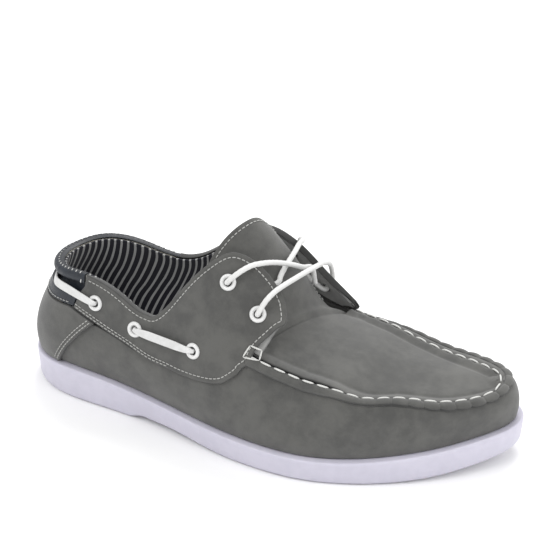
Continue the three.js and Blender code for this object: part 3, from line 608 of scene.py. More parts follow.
striped, tree, shader = paint("striped_lining", Roughness=0.85, Sheen_Weight=0.2, Specular_IOR_Level=0.2)
across, up = uv_of(tree)
wobble = maths(tree, "MULTIPLY", maths(tree, "SUBTRACT", noise(tree, place_of(tree), 38.0, 1.0), 0.5), 0.0035)
beat = maths(tree, "FRACT", maths(tree, "DIVIDE", maths(tree, "ADD", across, wobble), 0.0045))
stripe = maths(tree, "SUBTRACT", 1.0, ramp(tree, maths(tree, "ABSOLUTE", maths(tree, "SUBTRACT", beat, 0.5)),
                                            0.14, 0.19))
threads = use(tree, weave, Across=across, Up=up, Pitch=0.0009).outputs["Height"]
ground = blend_colours(tree, threads, (0.007, 0.007, 0.012, 1), (0.018, 0.018, 0.027, 1))
white = blend_colours(tree, threads, (0.30, 0.30, 0.30, 1), (0.48, 0.48, 0.47, 1))
tree.links.new(blend_colours(tree, stripe, ground, white), shader.inputs["Base Color"])
bump(tree, shader, threads, 0.00012, 0.6)


def plain_cloth(name, dark, light, pitch=0.0009):
    """Woven cloth in one colour, its threads taken from the place on the piece."""
    made, tree, shader = paint(name, Roughness=0.9, Sheen_Weight=0.2, Specular_IOR_Level=0.2)
    apart = node(tree, "ShaderNodeSeparateXYZ", {0: place_of(tree)})
    threads = use(tree, weave, Across=apart.outputs["X"], Up=maths(tree, "ADD", apart.outputs["Y"],
                  apart.outputs["Z"]), Pitch=pitch).outputs["Height"]
    tree.links.new(blend_colours(tree, threads, dark, light), shader.inputs["Base Color"])
    bump(tree, shader, threads, 0.0001, 0.5)
    return made


def cord_finish(name, dark, light, pitch, roughness=0.6):
    """A braided cord: a diamond braid that follows the cord through its UV map."""
    made, tree, shader = paint(name, Roughness=roughness, Specular_IOR_Level=0.35, Sheen_Weight=0.1)
    around, run = uv_of(tree)
    left, right = maths(tree, "ADD", around, run), maths(tree, "SUBTRACT", around, run)
    braid = use(tree, weave, Across=left, Up=right, Pitch=pitch).outputs["Height"]
    tree.links.new(blend_colours(tree, braid, dark, light), shader.inputs["Base Color"])
    bump(tree, shader, braid, 0.00006, 0.5)
    return made


dark_cloth = plain_cloth("dark_lining", (0.012, 0.012, 0.018, 1), (0.028, 0.028, 0.04, 1))
foam = plain_cloth("foam_cells", (0.55, 0.53, 0.46, 1), (0.68, 0.66, 0.58, 1), 0.002)
board = plain_cloth("fibre_board", (0.24, 0.19, 0.12, 1), (0.34, 0.28, 0.19, 1), 0.0015)
lace_white = cord_finish("white_lace", (0.60, 0.60, 0.59, 1), (0.74, 0.74, 0.73, 1), 0.0011)
thong_white = smooth_leather("white_thong", (0.60, 0.60, 0.595, 1), (0.68, 0.68, 0.675, 1), 0.55, 0.0)
thread_white = cord_finish("white_thread", (0.52, 0.52, 0.50, 1), (0.70, 0.70, 0.68, 1), 0.0004, 0.75)
thread_grey = cord_finish("pale_thread", (0.34, 0.34, 0.33, 1), (0.50, 0.50, 0.48, 1), 0.0003, 0.8)
eyelet_white, tree, shader = paint("eyelet_enamel", Roughness=0.32, Specular_IOR_Level=0.5, Coat_Weight=0.2)
tone = use(tree, clouds, Place=place_of(tree), Size=0.004).outputs["Tone"]
tree.links.new(blend_colours(tree, tone, (0.66, 0.66, 0.655, 1), (0.72, 0.72, 0.715, 1)),
    shader.inputs["Base Color"])
print("materials", len(bpy.data.materials))

# %% [markdown]
# ## Sole
# The outsole is one ring of side points that climbs from the tread to the lip, closed by two sheets of
# straight lines across. The lines lie at equal lengths on both sides, crowded towards heel and toe. Wavy
# slits cross the tread, as on any boat sole: they open on a wet deck and let the water out. The last few
# millimetres stay smooth.

# %% Sole
wheel = np.linspace(-4, N - 4, 5401)
heel_u, toe_u = wheel[np.argmin(out_x(wheel))], wheel[np.argmax(out_x(wheel))]


def sole_slab(name, profile, steps, across, finish, tread=None, crown_z=None, shrink=1.0, **more):
    """A slab with the sole's outline: profile lists [inset, height(x)] from the bottom up. tread(x, y,
    margin) is added to the bottom sheet and crown_z(x, y, margin) to the top one."""
    near_run, far_run = np.linspace(heel_u, toe_u, 2000), np.linspace(heel_u + N, toe_u, 2000)
    level = -np.cos(np.linspace(0, np.pi, steps + 1))
    x = mix(out_x(heel_u), mix(out_x(heel_u), out_x(toe_u), shrink), (level + 1) / 2)
    near, far = np.interp(x, out_x(near_run), near_run), np.interp(x, out_x(far_run), far_run)
    loop = np.r_[near, far[::-1][1:-1]]
    rings = []
    for inset, height in profile:
        px, py, _, _ = outline(loop, inset)
        rings.append(np.stack([px, py, height(px)], -1))
    count, total = len(loop), len(profile)
    index = np.arange(count * total).reshape(total, count)
    a, b = index[:-1], np.roll(index, -1, 1)[:-1]
    c, d = np.roll(index, -1, 1)[1:], index[1:]
    faces = [np.stack([a, b, c, d], -1).reshape(-1, 4)]
    points = [np.concatenate(rings)]
    for ring, height, extra, up in ((rings[0], profile[0][1], tread, False),
            (rings[-1], profile[-1][1], crown_z, True)):
        left, right = ring[:steps + 1], np.concatenate([ring[:1], ring[steps + 1:][::-1],
            ring[steps:steps + 1]])
        t = np.linspace(0, 1, across + 1)[None, :, None]
        sheet = mix(left[:, None], right[:, None], t)
        sheet[:, 1:-1, 2] = height(sheet[:, 1:-1, 0])
        width = np.linalg.norm(right - left, axis=-1)[:, None]
        ends = np.minimum(sheet[..., 0] - ring[:, 0].min(), ring[:, 0].max() - sheet[..., 0])
        margin = np.minimum(np.minimum(t[..., 0], 1 - t[..., 0]) * width, ends)
        if extra:
            sheet[..., 2] += extra(sheet[..., 0], sheet[..., 1], margin)
        k = sum(map(len, points)) + np.arange(sheet.shape[0] * sheet.shape[1]).reshape(sheet.shape[:2])
        quad = [k[:-1, :-1], k[1:, :-1], k[1:, 1:], k[:-1, 1:]]
        faces.append(np.stack(quad if up else quad[::-1], -1).reshape(-1, 4))
        points.append(sheet.reshape(-1, 3))
    return weld(build(name, np.concatenate(points), np.concatenate(faces), finish, **more), 0.004)


def slits(x, y, margin):
    """Wavy slits 1.2 mm deep every 6 mm, away from the rim and from the step of the heel block."""
    beat = np.mod((x + 1.5 * np.sin(2 * np.pi * y / 13)) / 6, 1)
    cut = 1 - smooth(0.07, 0.12, np.abs(beat - 0.5))
    clear = smooth(6.5, 7.2, margin) * (1 - smooth(-76, -74, x) * (1 - smooth(-52, -50, x)))
    return 1.2 * cut * clear


def between_heights(share):
    return lambda x: mix(sole_ground(x) + 2.5, sole_top(x) - 1.5, share)


outsole = sole_slab("outsole_rubber", [
    [3.3, lambda x: sole_ground(x) + 0.02], [2.6, lambda x: sole_ground(x) + 0.1],
    [1.9, lambda x: sole_ground(x) + 0.6],
    [1.3, lambda x: sole_ground(x) + 1.5], [0.95, lambda x: sole_ground(x) + 2.5],
    [0.6, between_heights(0.33)],
    [0.25, between_heights(0.66)], [0.02, between_heights(0.93)], [0, lambda x: sole_top(x) - 1.1],
    [0.12, lambda x: sole_top(x) - 0.55], [0.42, lambda x: sole_top(x) - 0.15], [0.9, sole_top]],
    760, 30, rubber, slits, nodes=["outsole"], slot="rubber")

BED = SOLE_LIP + 2 * LEATHER + GAP + LINING + 3 * GAP + 0.4


def bed_base(x):
    return sole_top(x) + GAP + 2 + GAP + 2 * (1 - smooth(-0.34, -0.22, x / HALF)) + GAP


footbed = sole_slab("footbed_cloth", [
    [BED + 0.2, bed_base], [BED, lambda x: bed_base(x) + 0.3], [BED, lambda x: bed_base(x) + 2.9],
    [BED + 0.25, lambda x: bed_base(x) + 3.3], [BED + 0.8, lambda x: bed_base(x) + 3.5]], 200, 24, dark_cloth,
    nodes=["footbed"], slot="footbed_cloth")
print("outsole faces", len(outsole.data.polygons), "footbed faces", len(footbed.data.polygons))

# %% [markdown]
# ## Leather of the upper
# The vamp wall goes round the foot as one strip. The counter, the two saddles and the navy heel patch lie
# over it. Each region is given by end lines and side lines on the last, the same ones as in the CAD, so the
# pieces meet where they should. Stitch rows press a shallow furrow into the leather a little way in from the
# edge.

# %% Regions
EYELETS = {
    "lace_eyelet_outer_upper": (6.89, 0.815), "lace_eyelet_outer_lower": (7.47, 0.73),
    "lace_eyelet_inner_upper": (20.45, 0.83), "lace_eyelet_inner_lower": (19.78, 0.8),
    "side_eyelet_outer_front": (6.1, 0.5), "side_eyelet_outer_middle": (4.56, 0.775),
    "side_eyelet_outer_rear": (3.41, 0.765), "side_eyelet_inner_front": (21.1, 0.5),
    "side_eyelet_inner_middle": (22.55, 0.77), "side_eyelet_inner_rear": (23.65, 0.765),
}
patch_edge = curve([(0.6, 2.7), (0.8, 2.88), (0.88, 3.0), (1, 3.02)])
flap_outer = curve([(0, 7.1), (0.07, 7.27), (0.2, 7.41), (0.42, 7.7), (0.65, 7.91), (0.77, 7.98), (0.9, 7.99),
                    (1, 7.93)])
flap_inner = curve([(0, 19.75), (0.2, 19.5), (0.5, 19.25), (0.83, 19.1), (1, 19.16)])
ROLL_FROM, ROLL_TO, ROLL_LOW = -3.85, 3.0, 0.895


trim = curve([(4.2, 0), (4.8, 0.02), (5.05, 0.055), (5.4, 0.066), (6, 0.066), (6.4, 0.05), (6.75, 0.01),
    (6.9, 0)])


def saddle_top(u):
    """The top line is cut lower behind the flaps, where it falls straight to a notch."""
    return 1 - trim(np.minimum(u, N - u)) - np.where(u < N / 2, 0.05 * np.clip((u - 7.7) / 0.3, 0, 1)**2,
        0.08 * np.clip((19.5 - u) / 0.4, 0, 1)**2)


def inner_top(u):
    return np.minimum(saddle_top(u), mix(1, ROLL_LOW - 0.015, smooth(0.02, 0.1, u - N - ROLL_FROM)))


def mirrored(u):
    return np.minimum(np.mod(u, N), N - np.mod(u, N))


def saddle_rear(t):
    return patch_edge(mix(0.6, 1, t)) + 0.03


def patch_side(t):
    return patch_edge(mix(0.65, 0.79, t)) - 0.02


wall_region = band(at(2.15), at(N - 2.15), at(0.01), lambda u: seam_v(u) - 0.012)
counter_region = band(lambda t: -mix(2.2, 3.4, t), lambda t: mix(2.2, 3.4, t), at(0.02),
                      lambda u: np.minimum(0.65, saddle_v(mirrored(u))) - 0.015)
patch_region = band(lambda t: -patch_side(t), patch_side, at(0.65), at(0.79))
outer_region = band(saddle_rear, flap_outer, saddle_v, saddle_top)
inner_region = band(flap_inner, lambda t: N - saddle_rear(t), saddle_v, inner_top)
roll_region = band(at(ROLL_FROM), at(ROLL_TO), at(ROLL_LOW), at(1.0))


def furrow(edge, depth, *rows):
    return -depth * sum(np.exp(-((edge - row) / 0.7)**2) for row in rows)


def closing(s, t):
    """Distance of a saddle's inner face: it drops to the lining near the top line, so no gap shows there."""
    return mix(COVER, -0.2, smooth(0.94, 0.985, t) * smooth(0, 0.1, s) * smooth(0, 0.1, 1 - s))


def drill(piece, *names, radius=2.9):
    """Bores the eyelet holes, along the normal of the last, through a piece."""
    turn = np.linspace(0, 2 * np.pi, 25)[:-1]
    points, faces = [], []
    for i, name in enumerate(names):
        u, v = EYELETS[name]
        base = 48 * i
        middle, up = last(u, v), last_up(u, v)
        side = np.cross(up, [1.0, 0, 0])
        side /= np.linalg.norm(side)
        ring = radius * (np.cos(turn)[:, None] * side + np.sin(turn)[:, None] * np.cross(up, side))
        points += [middle - 4 * up + ring, middle + 7 * up + ring]
        k = np.arange(24)
        faces += [list(base + k[::-1]), list(base + 24 + k)]
        faces += np.stack([base + k, base + (k + 1) % 24, base + 24 + (k + 1) % 24, base + 24 + k],
            -1).tolist()
    tool = build(piece.name + "_tool", np.concatenate(points), faces, rubber, body=None)
    bore = piece.modifiers.new("bore", "BOOLEAN")
    bore.operation, bore.solver, bore.object = "DIFFERENCE", "EXACT", tool
    bpy.context.view_layer.update()
    ready = bpy.data.meshes.new_from_object(piece.evaluated_get(bpy.context.evaluated_depsgraph_get()))
    piece.modifiers.clear()
    piece.data = ready
    bpy.data.objects.remove(tool)
    return piece


print("flap corner", last(*outer_region(1.0, 0.7)).round(1))

# %% Wall, counter and patch
def wall_relief(s, t, edge):
    """Slow waves of worn leather, and a bulge just under the seam where the wall is gathered."""
    u = mix(2.15, N - 2.15, s)
    toe_side = smooth(7.5, 9, u) * (1 - smooth(18.5, 20, u))
    return 0.25 * np.sin(u * 4.1 + 2 * t) * np.sin(3 * t + u) * smooth(0, 6,
        edge) - 0.5 * toe_side * smooth(0.9, 1, t)


vamp = panel("vamp_wall_nubuck", on_last(wall_region), 0, LEATHER, 330, 34, nubuck, ["vamp_wall"],
             relief=wall_relief, slot="nubuck")
drill(vamp, "side_eyelet_outer_front", "side_eyelet_inner_front")
counter = panel("counter_nubuck", on_last(counter_region), COVER - 0.3, SKIN, 110, 40, nubuck,
    ["back_counter"],
                relief=lambda s, t, e: furrow(e, 0.12, 1.6, 3.6), slot="nubuck")
patch = panel("heel_patch_leather", on_last(patch_region), COVER, SKIN + 0.15, 110, 12, navy, ["heel_patch"],
              relief=lambda s, t, e: furrow(e, 0.2, 1.6), slot="navy_leather")
panel("thong_slot_leather", on_last(band(at(-2.98), at(2.98), at(0.76), at(0.93))), -0.42, 0.05, 110, 10,
    navy,
      round_off=0.2, slot="navy_leather")
print("wall", len(vamp.data.polygons), "counter", len(counter.data.polygons))

# %% Saddles and their backing
outer_saddle = panel("saddle_outer_nubuck", on_last(outer_region), closing, SKIN, 150, 70, nubuck,
    ["saddle_outer"],
                     relief=lambda s, t, e: furrow(e, 0.14, 2.9) * smooth(0, 0.02, s), slot="nubuck")
inner_saddle = panel("saddle_inner_nubuck", on_last(inner_region), closing, SKIN, 150, 70, nubuck,
    ["saddle_inner"],
                     relief=lambda s, t, e: furrow(e, 0.14, 2.9), slot="nubuck")
drill(outer_saddle, *[name for name in EYELETS if "outer" in name])
drill(inner_saddle, *[name for name in EYELETS if "inner" in name])


# The backings use the flesh-side leather, whose extra lightness is painted light on the shaded inner faces of the
# flaps.
def backing(side, region):
    made = panel("flap_backing_" + side + "_leather", on_last(region), 0.1, LEATHER - 0.25, 50, 30, flesh_side_and_painted_light,
                 ["flap_backing_" + side], round_off=0.4, slot="nubuck")
    return drill(made, *[f"lace_eyelet_{side}_upper", f"lace_eyelet_{side}_lower",
        f"side_eyelet_{side}_front"])


def backing_low(u):
    return seam_v(u) + 0.02


def backing_high(u):
    return saddle_top(u) - 0.03


backing("outer", band(at(5.15), lambda t: flap_outer(mix(0.3, 1, t)) - 0.06, backing_low, backing_high))
backing("inner", band(lambda t: flap_inner(mix(0.3, 1, t)) + 0.06, at(N - 5.15), backing_low, backing_high))
print("saddles", len(outer_saddle.data.polygons), len(inner_saddle.data.polygons))

# %% Padded collar
def roll_out(s, t):
    """The roll stands out like a pillow: the square root of a sine both across and along."""
    return (COVER + 0.6 + 3 * np.sqrt(np.sin(np.pi * mix(0.03, 0.97, t)))
            * np.sqrt(np.sin(np.pi * mix(0.03, 0.97, s))))


def roll_relief(s, t, edge):
    """Small pulls where the soft leather is gathered towards its seams."""
    gather = np.sin(s * 210) * np.exp(-edge / 1.6) * 0.12
    return gather + 0.1 * np.sin(s * 57 + 3 * np.sin(s * 23)) * np.sin(np.pi * t)


panel("collar_foam_pad", on_last(band(at(-3.75), at(4.4), at(0.9), at(0.965))), 0.15, 1.5, 90, 8, foam,
    ["collar_foam"],
      round_off=0.3, slot="foam")
roll = panel("collar_roll_leather", on_last(roll_region), lambda s, t: mix(COVER, -0.5, smooth(0.8, 1, t)),
    roll_out,
             170, 16, navy, ["collar_roll"], round_off=0.9, relief=roll_relief, slot="navy_leather")
print("roll", len(roll.data.polygons))

# %% Striped lining
def inside(name, nodes, u0, u1, top, under, finish, slot):
    """A lining: its face towards the foot lies 1.2 mm deeper than the face towards the leather."""
    return panel(name, on_last(band(at(u0), at(u1), at(0.01), top)), -under - LINING, -under, 120, 40, finish,
        nodes,
                 round_off=0.5, slot=slot)


def lining_top(u):
    return 0.985 - trim(np.minimum(u, N - u))


inside("quarter_lining_outer_cloth", ["quarter_lining_outer"], 0.02, 6.2, lining_top, 1.7 * GAP, striped,
       "lining_cloth")
inside("quarter_lining_inner_cloth", ["quarter_lining_inner"], 20.95, N - 0.02, lining_top, 1.7 * GAP,
    striped,
       "lining_cloth")
inside("vamp_lining_cloth", ["vamp_lining"], 6.24, 20.91, lambda u: seam_v(u) - 0.08, 2 * GAP, dark_cloth,
       "lining_cloth")
print("linings done")

# %% [markdown]
# ## Plug, seam and tongue
# The plug closes the top of the foot. Its rim rolls over the wall and is sewn to it, which makes the ridge
# that names the moccasin seam. The hand stitches pull the leather down between two holes, so the ridge rises
# and falls with the pitch of the stitches; pucker(walk) is that rhythm, measured in mm along the seam.

# %% The seam line
SEAM_FROM, SEAM_TO, PITCH, STRIP = 7.2, 19.35, 8.6, 5.2
seam_u = np.linspace(SEAM_FROM, SEAM_TO, 900)
seam_walk = along(last(seam_u, seam_v(seam_u), 2.0), 0)
rib_length = along(last(seam_u[:, None], np.linspace(0, 1, 40)[None, :]), 1)[:, -1]


def pucker(u):
    """1 in the middle of a stitch and 0 at its holes, at station u of the seam."""
    beat = np.mod(np.interp(u, seam_u, seam_walk) / PITCH, 1)
    return np.sin(np.pi * beat)**0.7


set_in = curve([(13, 0), (14.2, 2.8), (15.2, 4.6), (17.8, 4.6), (18.7, 3.2),
    (19.3, 0.8)])   # stitches inside the rim


def strip_region(s, t):
    u = mix(SEAM_FROM, SEAM_TO, s)
    tight = smooth(8.6, 11.5, u) * (1 - smooth(16, 18.6, u))
    width = (STRIP + 0.7 * tight * (pucker(u) - 0.5)) / np.interp(u, seam_u, rib_length)
    return u, seam_v(u) - (1 - t) * width


def strip_out(s, t):
    """The ridge: 3.1 mm out at its free edge, 3.9 in the middle and 2.6 where the stitches sink in."""
    u = mix(SEAM_FROM, SEAM_TO, s)
    tight = smooth(8.2, 11.5, u) * (1 - smooth(16, 19, u))
    ends = smooth(0, 0.012, s) * smooth(0, 0.012, 1 - s)
    form = mix(2.9, 3.3, smooth(0, 0.35, t)) + 0.5 * np.sin(np.pi * t) - 0.6 * smooth(0.7, 1, t)
    return form - (1 - pucker(u)) * (0.25 + 0.55 * tight) * ends


def under_region(s, t):
    """The layer below the ridge: the wall's own edge, folded up, 0.7 mm wider than the strip."""
    u, v = strip_region(s, t)
    return u, v - 0.7 * (1 - t) / np.interp(u, seam_u, rib_length)


strip = panel("moc_seam_nubuck", on_last(strip_region), lambda s, t: mix(2.75, 1.4, smooth(0, 0.45, t)),
              lambda s, t: strip_out(s, t) + 0.55 * (1 - smooth(0, 0.6, t)), 1000, 14, nubuck, round_off=0.35,
              slot="nubuck")
panel("moc_under_edge_nubuck", on_last(under_region), 1.55, 2.4, 500, 8, nubuck, round_off=0.35,
    slot="nubuck")
print("seam length", round(float(seam_walk[-1])), "mm, strip faces", len(strip.data.polygons))

# %% Toe plug and its lining
def nearest_u(s, w):
    """Station of the seam beside a point of the plug."""
    return np.where(w < 0.5, plug_near(s), plug_far(s))


def plug_relief(s, t, edge):
    """The rolled rim, its puckers, a crease inside the stitches, and a few slow dents."""
    a, w = plug_region(s, t)
    u = nearest_u(a, w)
    tight = smooth(8.4, 11.5, u) * (1 - smooth(16, 19, u))
    inner = mix(set_in(plug_near(a)), set_in(plug_far(a)), smooth(0.25, 0.75, w))
    rim = 2.7 * np.exp(-(np.maximum(edge - inner, 0) / 4.2)**2)
    rim -= (1 - pucker(u)) * (0.25 + 0.5 * tight) * np.exp(-((edge - inner) / 3.2)**2)
    crease = -0.45 * np.exp(-((edge - inner - 6.5) / 1.6)**2)
    crease -= 0.8 * smooth(0, 3, inner) * np.exp(-((edge - inner) / 1.2)**2)
    crease *= smooth(0.08, 0.2, s)
    at_sides = 1 - smooth(0.82, 0.9, s) * smooth(0.05, 0.11, np.minimum(t, 1 - t))
    thin_end = -1.4 * smooth(0.84, 1, s) * smooth(0.02, 0.12, np.minimum(t, 1 - t))
    return (rim + crease) * at_sides + thin_end + 0.3 * np.sin(a * 7 + 4 * w) * np.sin(w * 9 - 2 * a) * smooth(5, 14, edge)


def plug_region(s, t):
    return mix(0.004, 0.992, s), t


toe = panel("toe_plug_nubuck", on_instep(plug_region), lambda s,
    t: -LEATHER + 1.5 * (1 - smooth(0, 0.06, np.minimum(
    np.minimum(t, 1 - t), s))), 0.0, 190, 130, nubuck, ["toe_plug"], round_off=0.15, relief=plug_relief,
    flip=True,
    slot="nubuck")


def under_plug(s, t):
    return mix(0.07, 0.97, s), mix(0.07, 0.93, t)


panel("plug_lining_cloth", on_instep(under_plug), -3.4, -2.2, 60, 40, dark_cloth, ["plug_lining"],
    round_off=0.4,
      flip=True, slot="lining_cloth")
print("plug", len(toe.data.polygons))


def tongue_region(edge, start=1.0):
    def region(s, t):
        w = mix(edge, 1 - edge, t)
        return mix(start, 2 - 0.22 * np.abs(2 * w - 1)**3 - edge, s), w
    return region


def tongue_drop(s, t):
    """How far the tongue's face lies under the instep: it slips below the plug at its front end."""
    a, _ = tongue_region(0.02, 0.965)(s, t)
    return -1.9 * (1 - smooth(0.985, 1.06, a))


tongue = panel("tongue_nubuck", on_instep(tongue_region(0.02, 0.965)), lambda s,
    t: tongue_drop(s, t) - LEATHER,
               tongue_drop, 120, 90, nubuck, ["tongue"], relief=lambda s, t, e: furrow(e, 0.12, 2.6),
               flip=True,
               body=None, slot="nubuck")
under_tongue = panel("tongue_lining_cloth", on_instep(tongue_region(0.04)), -3.4, -2.2, 60, 50, dark_cloth,
                     ["tongue_lining"], round_off=0.4, flip=True, body=None, slot="lining_cloth")
for piece in (tongue, under_tongue):
    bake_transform(piece)
print("tongue", len(tongue.data.polygons))

# %% [markdown]
# ## Eyelets, lace and thong
# An eyelet is a turned shape: a straight barrel through the leather and a flange with a half-round back. The
# cords are Catmull-Rom curves through the same points as in the CAD. A section is carried along each of them:
# a circle for the lace, a flat oval for the thong.

# %% Eyelets
def lathe(profile, segments=48):
    """A ring of faces round an axis from a closed profile of [radius, height]: points and faces."""
    turn = np.linspace(0, 2 * np.pi, segments + 1)[:-1]
    r, h = np.array(profile, float).T
    points = np.stack([r[None] * np.cos(turn)[:, None], r[None] * np.sin(turn)[:, None],
                       np.broadcast_to(h, (segments, len(r)))], -1)
    index = np.arange(segments * len(r)).reshape(segments, len(r))
    far = np.roll(index, -1, 0)
    quads = np.stack([index, far, np.roll(far, -1, 1), np.roll(index, -1, 1)], -1)
    return points, quads.reshape(-1, 4)


bulge = np.linspace(0, np.pi, 13)
flange = np.stack([3.52 + 1.2 * np.cos(bulge), SKIN + 0.1 + 1.35 * np.sin(bulge)], -1)
ring_points, ring_faces = lathe([[2.32, COVER - 0.1], [2.8, COVER - 0.1], [2.8, SKIN], *flange])
for name, (u, v) in EYELETS.items():
    middle, up = last(u, v), last_up(u, v)
    side = np.cross(up, [1.0, 0, 0])
    side /= np.linalg.norm(side)
    axes = np.stack([side, np.cross(up, side), up])
    build(name + "_ring", (middle + ring_points @ axes).reshape(-1, 3), ring_faces, eyelet_white, [name],
          slot="white_eyelet")
print("eyelets", len(EYELETS))

# %% Curves through points
def through(points, steps, power):
    """A Catmull-Rom curve through points, its knots spaced by distance to that power: 0 uniform, 0.5
    centripetal. Cubic Hermite pieces, p = h00 a + h10 m + h01 b + h11 n."""
    p = np.concatenate([[2 * points[0] - points[1]], points, [2 * points[-1] - points[-2]]])
    gap = np.linalg.norm(np.diff(p, axis=0), axis=1)[:, None]**power
    x = np.linspace(0, len(points) - 1, steps)
    i = np.minimum(np.floor(x).astype(int), len(points) - 2)
    t = (x - i)[:, None]
    a, b, c, d = p[i], p[i + 1], p[i + 2], p[i + 3]
    g0, g1, g2 = gap[i], gap[i + 1], gap[i + 2]
    m = ((b - a) / g0 - (c - a) / (g0 + g1) + (c - b) / g1) * g1
    n = ((c - b) / g1 - (d - b) / (g1 + g2) + (d - c) / g2) * g1
    return ((2 * t**3 - 3 * t**2 + 1) * b + (t**3 - 2 * t**2 + t) * m + (3 * t**2 - 2 * t**3) * c + (t**3 - t**2) * n)


def unit(vectors):
    return vectors / np.linalg.norm(vectors, axis=-1, keepdims=True)


def sweep(name, path, side, up, section, finish, nodes, **more):
    """Carries a closed section of [side, up] distances, one per point of the path, along it, with flat
    ends."""
    count, sides = section.shape[:2]
    rings = path[:, None] + section[..., :1] * side[:, None] + section[..., 1:] * up[:, None]
    index = np.arange(count * sides).reshape(count, sides)
    far = np.roll(index, -1, 1)
    quads = np.stack([index[:-1], far[:-1], far[1:], index[1:]], -1).reshape(-1, 4).tolist()
    faces = quads + [index[0, ::-1].tolist(), index[-1].tolist()]
    walk = along(path, 0)
    round_walk = np.concatenate([np.zeros((count, 1)), np.cumsum(np.linalg.norm(np.diff(section, axis=1),
        axis=-1), 1)], 1)
    uv = np.stack([round_walk, np.broadcast_to(walk[:, None], round_walk.shape)], -1).reshape(-1, 2)
    return build(name, rings.reshape(-1, 3), faces, finish, nodes, uv=uv, **more)


print("a bend:", through(np.array([[0, 0, 0], [1, 1, 0], [2, 0, 0.0]]), 5, 0.5).round(2).tolist())

# %% Front lace
def over(s, w, h):
    return instep(s, w, h + 1.5)


def eye(name, d):
    return last(*EYELETS["lace_eyelet_" + name], d)


lace_route = np.array([
    over(1.5, 0.1, 0.8), [10.9, -4.5, 93], [11, 0.5, 95.6], [11.9, 5, 98.9], [12, 18, 101.6], [9.4, 32, 99.9],
    [8.4, 40, 98.4], last(20.42, 0.92, 7.4), eye("inner_upper", 6.6), eye("inner_upper", 3),
    eye("inner_upper", -1),
    last(20.15, 0.8, -2.9), eye("inner_lower", -1), eye("inner_lower", 3), eye("inner_lower", 6.6),
    [23, 46, 82.4], [21.9, 39, 86.6], [23.8, 26, 91.9], [24.1, 11, 96.3], [21.8, -4, 98.2],
    [19.6, -17.5, 99.6],
    [17.2, -23, 98.4], [14.3, -29, 95], eye("outer_lower", 6.0), eye("outer_lower", 3),
    eye("outer_lower", -1.4),
    last(7.2, 0.77, -3.2), eye("outer_upper", -2), eye("outer_upper", 2.4), eye("outer_upper", 5.6),
    [-2.3, -26, 108],
    [2.1, -21, 110.2], [6.2, -16.5, 110.3], [10.5, -7, 107.1], [15, 2.5, 102.4], [18.4, 15, 94.9],
    [19.2, 27, 88.5],
    over(1.4, 0.86, 0.8)])
lace_path = through(lace_route, 900, 0.5)
lace_run = unit(np.gradient(lace_path, axis=0))
lace_side = np.empty_like(lace_run)
lace_side[0] = unit(np.cross(lace_run[0], [0.2, 0.3, 1.0]))
for i in range(1, len(lace_run)):
    lace_side[i] = unit(lace_side[i - 1] - lace_run[i] * (lace_side[i - 1] @ lace_run[i]))
spin = np.linspace(0, 2 * np.pi, 17)[:-1]
lace_walk = along(lace_path, 0)
plait = 1.5 + 0.05 * np.cos(3 * spin[None] + 2 * np.pi * lace_walk[:, None] / 3.2)
circle = plait[..., None] * np.stack([np.cos(spin), np.sin(spin)], -1)[None]
sweep("front_lace_cord", lace_path, lace_side, np.cross(lace_run, lace_side), circle, lace_white,
    ["front_lace"],
      slot="lace_cloth")
print("front lace", round(float(lace_walk[-1])), "mm")

# %% Side thong
OVER_FLANGE, ON_LEATHER, UNDER = SKIN + GAP + 1.0 + GAP + 0.7, SKIN + GAP + 0.2 + 0.7, 0.25 + 0.7


def thong_knots(side, turn_in, way):
    """Rows of [u, v, d, share of the width] on one side, from the front eyelet to the turn round the heel."""
    front, middle, rear = [np.array(EYELETS[f"side_eyelet_{side}_{end}"]) for end in ("front", "middle",
        "rear")]
    turn_in = np.array([turn_in, 0.842])

    def raised(place, d):
        return [*place, d, 0.5]

    def between(a, b, t, d, width=1.0):
        return [*mix(a, b, t), d, width]

    return [
        raised(front, UNDER + 0.4), raised(front, SKIN), raised(front, SKIN + 0.8),
        between(front, middle, 0.08, OVER_FLANGE, 0.8), between(front, middle, 0.2, ON_LEATHER + 0.2),
        between(front, middle, 0.5, ON_LEATHER), between(front, middle, 0.8, ON_LEATHER + 0.2),
        between(front, middle, 0.93, OVER_FLANGE, 0.8), raised(middle, SKIN + 0.8),
        raised(middle, UNDER + 0.8),
        between(middle, rear, 0.1, UNDER, 0.7), between(middle, rear, 0.5, UNDER),
        between(middle, rear, 0.9, UNDER, 0.7),
        raised(rear, UNDER + 0.8), raised(rear, SKIN + 0.8), between(rear, turn_in, 0.07, OVER_FLANGE, 0.8),
        between(rear, turn_in, 0.4, ON_LEATHER), between(rear, turn_in, 0.75, ON_LEATHER),
        [*turn_in, SKIN - 0.6, 0.9], [turn_in[0] - 0.35 * way, turn_in[1], UNDER, 1]]


inner_knots = np.array(thong_knots("inner", N - 1.35, -1)) - [N, 0, 0, 0]
heel_knots = [[u, 0.842, UNDER + 0.15, 1] for u in (0.6, 0.2, -0.2, -0.6)]
knots = np.concatenate([thong_knots("outer", 1.35, 1), heel_knots, inner_knots[::-1]])
thong_points = last(knots[:, 0], knots[:, 1], knots[:, 2])
share = np.array([0.1, 0.27, 0.5, 0.73, 0.9])[:, None]
for first, front_end, middle_end in ((3, "outer_front", "outer_middle"),
        (len(knots) - 8, "inner_middle", "inner_front")):
    a, b = [last(*EYELETS["side_eyelet_" + end], OVER_FLANGE - 0.3) for end in (front_end, middle_end)]
    thong_points[first:first + 5] = mix(a, b, share)        # stretched straight from flange to flange
thong_path = through(thong_points, 900, 0)
x = np.linspace(0, len(knots) - 1, 900)
lean = 1.6 * (len(knots) - 1) / len(knots)


def knot_value(at, column):
    return np.interp(np.clip(at, 0, len(knots) - 1), np.arange(len(knots)), knots[:, column])


